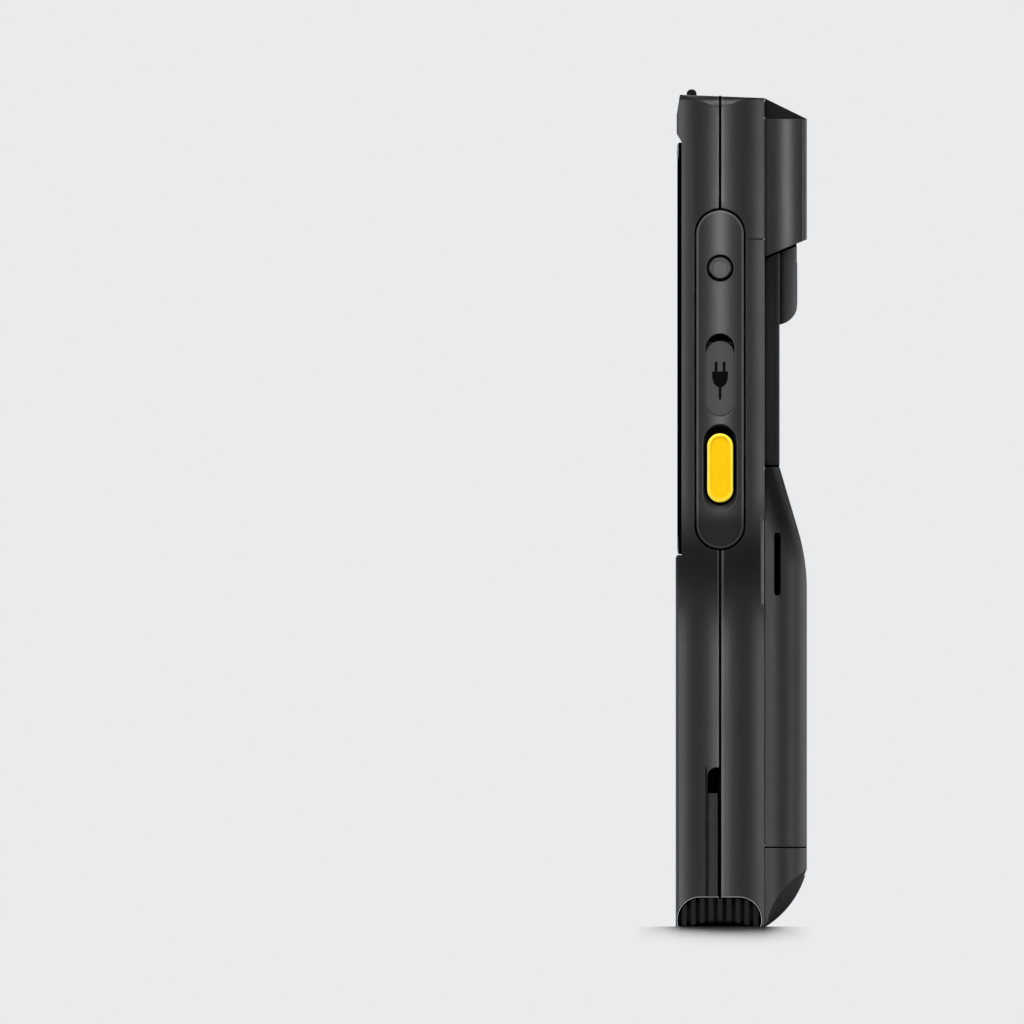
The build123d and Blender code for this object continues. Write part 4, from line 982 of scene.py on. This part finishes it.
lights_height = 164.4 * MM
dome_profile = [(1.0, -0.1), (1.0, 0.0), (0.9, 0.05), (0.6, 0.08), (0.2, 0.09)]
small_lights = (
    ("status_light", 14.0, 0.9, polished("status_lamp", shade(34, 74, 48), gloss=0.2)),
    ("light_sensor", 18.0, 1.1, polished("sensor_glass", shade(22, 12, 30), gloss=0.1)),
)
for name, across_mm, radius_mm, finish in small_lights:
    form = bmesh.new()
    base = Vector((across_mm * MM, lens_front, lights_height))
    dome = [(part * radius_mm * MM, height * MM) for part, height in dome_profile]
    circles = turned(form, base, dome, -1, steps=32)
    form.faces.new(circles[-1])
    form.faces.new(circles[0])
    piece(name, form, finish, "terminal")
print("camera ring and two small lights")

# %% [markdown]
# ## The battery's label
#
# With the door open, the battery shows a printed label. It carries only a plus, a minus and a few bars.

# %% Battery label
pack_low, pack_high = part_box("battery_pack")
label_finish = moulded(
    "label_paper", shade(188, 188, 184), gloss=0.45, grain=0.5, edge_gain=0.0, reach=0.2,
)
side_margin, bottom_margin, top_margin = 6 * MM, 12 * MM, 10 * MM
label_back, label_face = pack_high[1] - 0.02 * MM, pack_high[1] + 0.08 * MM
form = bmesh.new()
slab(
    form, (pack_low[0] + side_margin, label_back, pack_low[2] + bottom_margin),
    (pack_high[0] - side_margin, label_face, pack_high[2] - top_margin),
)
piece("battery_label", form, label_finish, "terminal")
form = bmesh.new()
minus_sign = [(-15, 58, -9, 59.2)]
plus_sign = [(9, 58, 15, 59.2), (11.4, 55.6, 12.6, 61.6)]
text_bars = [(-14, 50 - 3 * row, 14 - 5 * (row % 3), 51 - 3 * row) for row in range(6)]
label_marks = minus_sign + plus_sign + text_bars
mark_back, mark_face = pack_high[1] + 0.06 * MM, pack_high[1] + 0.12 * MM
for left, bottom, right, top in label_marks:
    slab(form, (left * MM, mark_back, bottom * MM), (right * MM, mark_face, top * MM))
piece("battery_marks", form, dark_ink, "terminal")
print("marks on the label:", len(label_marks))

# %% [markdown]
# ## The studio
#
# The terminal stands at the front edge of a pale table that curves up into a backdrop, so there is no
# horizon line. The front edge is a rounded lip, which starts just inside the terminal's right side and
# falls away towards the camera. That keeps the camera low, square on to the side, and still lets it see
# the soft shadow round the foot. It also leaves nothing bright in front for the dark plastic to mirror.
#
# The paper has to look evenly pale however the lamps are set. For rays that come from the camera or a
# mirror it therefore shines by itself, at the colour of the paper, and the shadow where the terminal stands
# is painted into that colour from an Ambient Occlusion node. On the lip the painted shadow is deep below
# the foot and weaker beside it, and ends a little way along the table. Everywhere else it simply fades
# with the open air. The world beyond the table is as pale for the camera. Mirror rays see it much
# fainter, as in a studio that is dark behind the camera, which is what gives the dark plastic its bands.

# %% Table and backdrop
def sweep_mesh(name, front, lip, drop, depth, radius, height, half_length, steps=24):
    """A table with a rounded front lip that curves up behind the terminal, along Y."""
    profile = [(front + lip, -drop)]
    for step in range(steps, -1, -1):
        turn = math.pi / 2 * step / steps
        profile.append((front + lip * math.sin(turn), -lip * (1 - math.cos(turn))))
    for step in range(steps + 1):
        turn = math.pi / 2 * step / steps
        profile.append((-depth - radius * math.sin(turn), radius * (1 - math.cos(turn))))
    profile.append((-depth - radius, height))
    mesh = bpy.data.meshes.new(name)
    points = [(x, side * half_length, z) for side in (-1, 1) for x, z in profile]
    count = len(profile)
    faces = [(i, i + 1, count + i + 1, count + i) for i in range(count - 1)]
    mesh.from_pydata(points, [], faces)
    mesh.shade_smooth()
    made = bpy.data.objects.new(name, mesh)
    bpy.context.scene.collection.objects.link(made)
    return made


floor = sweep_mesh(
    "studio_floor", front=cad_high[0] - 0.003, lip=0.040, drop=0.3, depth=1.2, radius=0.6, height=3.0,
    half_length=3.0,
)
paper = Finish("studio_paper")
fibre = paper.noise(3.0, detail=3.0)
from_camera, from_mirror, through_glass = (
    paper.node("ShaderNodeLightPath", output=f"Is {kind} Ray")
    for kind in ("Camera", "Glossy", "Transmission")
)
seen = paper.node(
    "ShaderNodeMath", {"operation": "ADD", "use_clamp": True},
    {0: from_camera + from_mirror, 1: through_glass},
)
pale = paper.blend(fibre, shade(232, 234, 236), shade(234, 236, 238))
shadow_reach, lip_start, lip_fade, foot_middle, foot_reach = 36.0, 26.0, 10.0, 0.6, 20.0
# Painted shadow: the emitted paper colour darkens where Ambient Occlusion finds the terminal close by.
open_air = paper.hollow(shadow_reach, samples=32)
under = paper.ramp(open_air, [
    (0.74, 0.0), (0.82, 0.04), (0.86, 0.147), (0.888, 0.357), (0.91, 0.59), (0.926, 0.74), (0.95, 0.93),
    (0.97, 1.0),
])
beside = paper.ramp(open_air, [
    (0.78, 0.40), (0.83, 0.50), (0.85, 0.60), (0.88, 0.68), (0.905, 0.74), (0.925, 0.82), (0.945, 0.92),
    (0.965, 1.0),
])
around = paper.ramp(open_air, [(0.45, 0.08), (0.65, 0.36), (0.82, 0.72), (0.95, 1.0)])
on_lip = paper.ramp((paper.axis("X") - lip_start * MM) / (lip_fade * MM), [(0.0, 0.0), (0.7, 1.0)])
along = paper.math("ABSOLUTE", paper.axis("Y") - foot_middle * MM) / (foot_reach * MM)
lit = paper.blend(paper.ramp(along, [(0.44, 0.0), (0.66, 1.0)]), under, beside)
lit = paper.math("MAXIMUM", lit, paper.ramp(along, [
    (0.46, 0.0), (0.60, 0.48), (0.67, 0.68), (0.80, 0.87), (0.95, 1.0),
]))
lit = paper.blend(on_lip, around, lit)
unlit, shadow_grey = (0.0, 0.0, 0.0, 1.0), shade(36, 36, 37)
paper.set(
    Base_Color=paper.blend(seen, pale, unlit),
    Emission_Color=paper.blend(seen, unlit, paper.blend(lit, shadow_grey, pale)),
    Emission_Strength=1.0,
    Roughness=0.9,
    Specular_IOR_Level=0.0,
)
floor.data.materials.append(paper.material)


# %% Lights
def area_light(name, place, target, size, power):
    lamp = bpy.data.lights.new(name, "AREA")
    lamp.shape = "RECTANGLE"
    lamp.size, lamp.size_y = size
    lamp.energy = power
    made = bpy.data.objects.new(name, lamp)
    made.location = place
    made.rotation_euler = (Vector(target) - Vector(place)).to_track_quat("-Z", "Y").to_euler()
    bpy.context.scene.collection.objects.link(made)
    return made


middle = (cad_low + cad_high) / 2


def round_about(azimuth, elevation, distance):
    """A place round the terminal: azimuth 0 is in front of the screen and 90 at its right side."""
    a, e = math.radians(azimuth), math.radians(elevation)
    return middle + distance * Vector((math.sin(a) * math.cos(e), -math.cos(a) * math.cos(e), math.sin(e)))


area_light("key_soft", round_about(90, 55, 1.3), middle, (1.1, 0.7), 15.0)
area_light("crown_light", round_about(90, 2, 1.6), middle, (0.26, 0.36), 9.0)
area_light("front_strip", round_about(26, 2, 1.3), middle, (0.20, 0.40), 4.6)
area_light("back_strip", round_about(154, 2, 1.3), middle, (0.20, 0.40), 3.2)
area_light("rear_rim", round_about(205, 10, 1.3), middle, (0.5, 1.3), 6.0)
area_light("screen_soft", round_about(-25, 25, 1.5), middle, (0.9, 1.2), 9.0)
area_light("far_side", round_about(-90, 35, 1.5), middle, (0.9, 0.9), 9.0)

world = bpy.data.worlds.new("studio_world")
world.use_nodes = True
backdrop = world.node_tree.nodes["Background"]
backdrop.inputs["Color"].default_value = shade(233, 235, 237)
world_rays = world.node_tree.nodes.new("ShaderNodeLightPath")
base_strength = 0.12
total = None
for ray, added in (("Is Camera Ray", 0.88), ("Is Transmission Ray", 0.88), ("Is Glossy Ray", 0.02)):
    adder = world.node_tree.nodes.new("ShaderNodeMath")
    adder.operation = "MULTIPLY_ADD"
    world.node_tree.links.new(world_rays.outputs[ray], adder.inputs[0])
    adder.inputs[1].default_value = added
    adder.inputs[2].default_value = base_strength
    if total is not None:
        world.node_tree.links.new(total, adder.inputs[2])
    total = adder.outputs[0]
world.node_tree.links.new(total, backdrop.inputs["Strength"])
bpy.context.scene.world = world
bpy.context.scene.view_settings.view_transform = "Standard"

# %% [markdown]
# ## The camera
#
# The terminal is seen square on from its right side. A far camera with parallel lines of sight is an
# orthographic one, and its scale is how many metres the square picture spans. It looks exactly level,
# and the body's parting plane and base get their own column and row of pixels. The shadow still shows,
# because the table's rounded edge turns towards the camera.

# %% Camera
PIXELS = 1024
pixel = 0.2125 * MM
parting_column, base_row = 720.1, 926.5
side_depth, camera_distance = 0.0345, 2.0
camera_data = bpy.data.cameras.new("camera")
camera_data.type = "ORTHO"
camera_data.ortho_scale = PIXELS * pixel
camera = bpy.data.objects.new("camera", camera_data)
aim = Vector((side_depth, (PIXELS / 2 - parting_column) * pixel, (base_row - PIXELS / 2) * pixel))
camera.location = aim + Vector((camera_distance, 0.0, 0.0))
camera.rotation_mode = "QUATERNION"
camera.rotation_quaternion = (aim - camera.location).to_track_quat("-Z", "Y")
camera_data.clip_end = 20.0
bpy.context.scene.collection.objects.link(camera)
bpy.context.scene.camera = camera
print("the picture spans", round(1000 * camera_data.ortho_scale, 1), "mm")

# %% [markdown] ## Close the scene
# The box round the dressed terminal has to stay within the box of the solids.
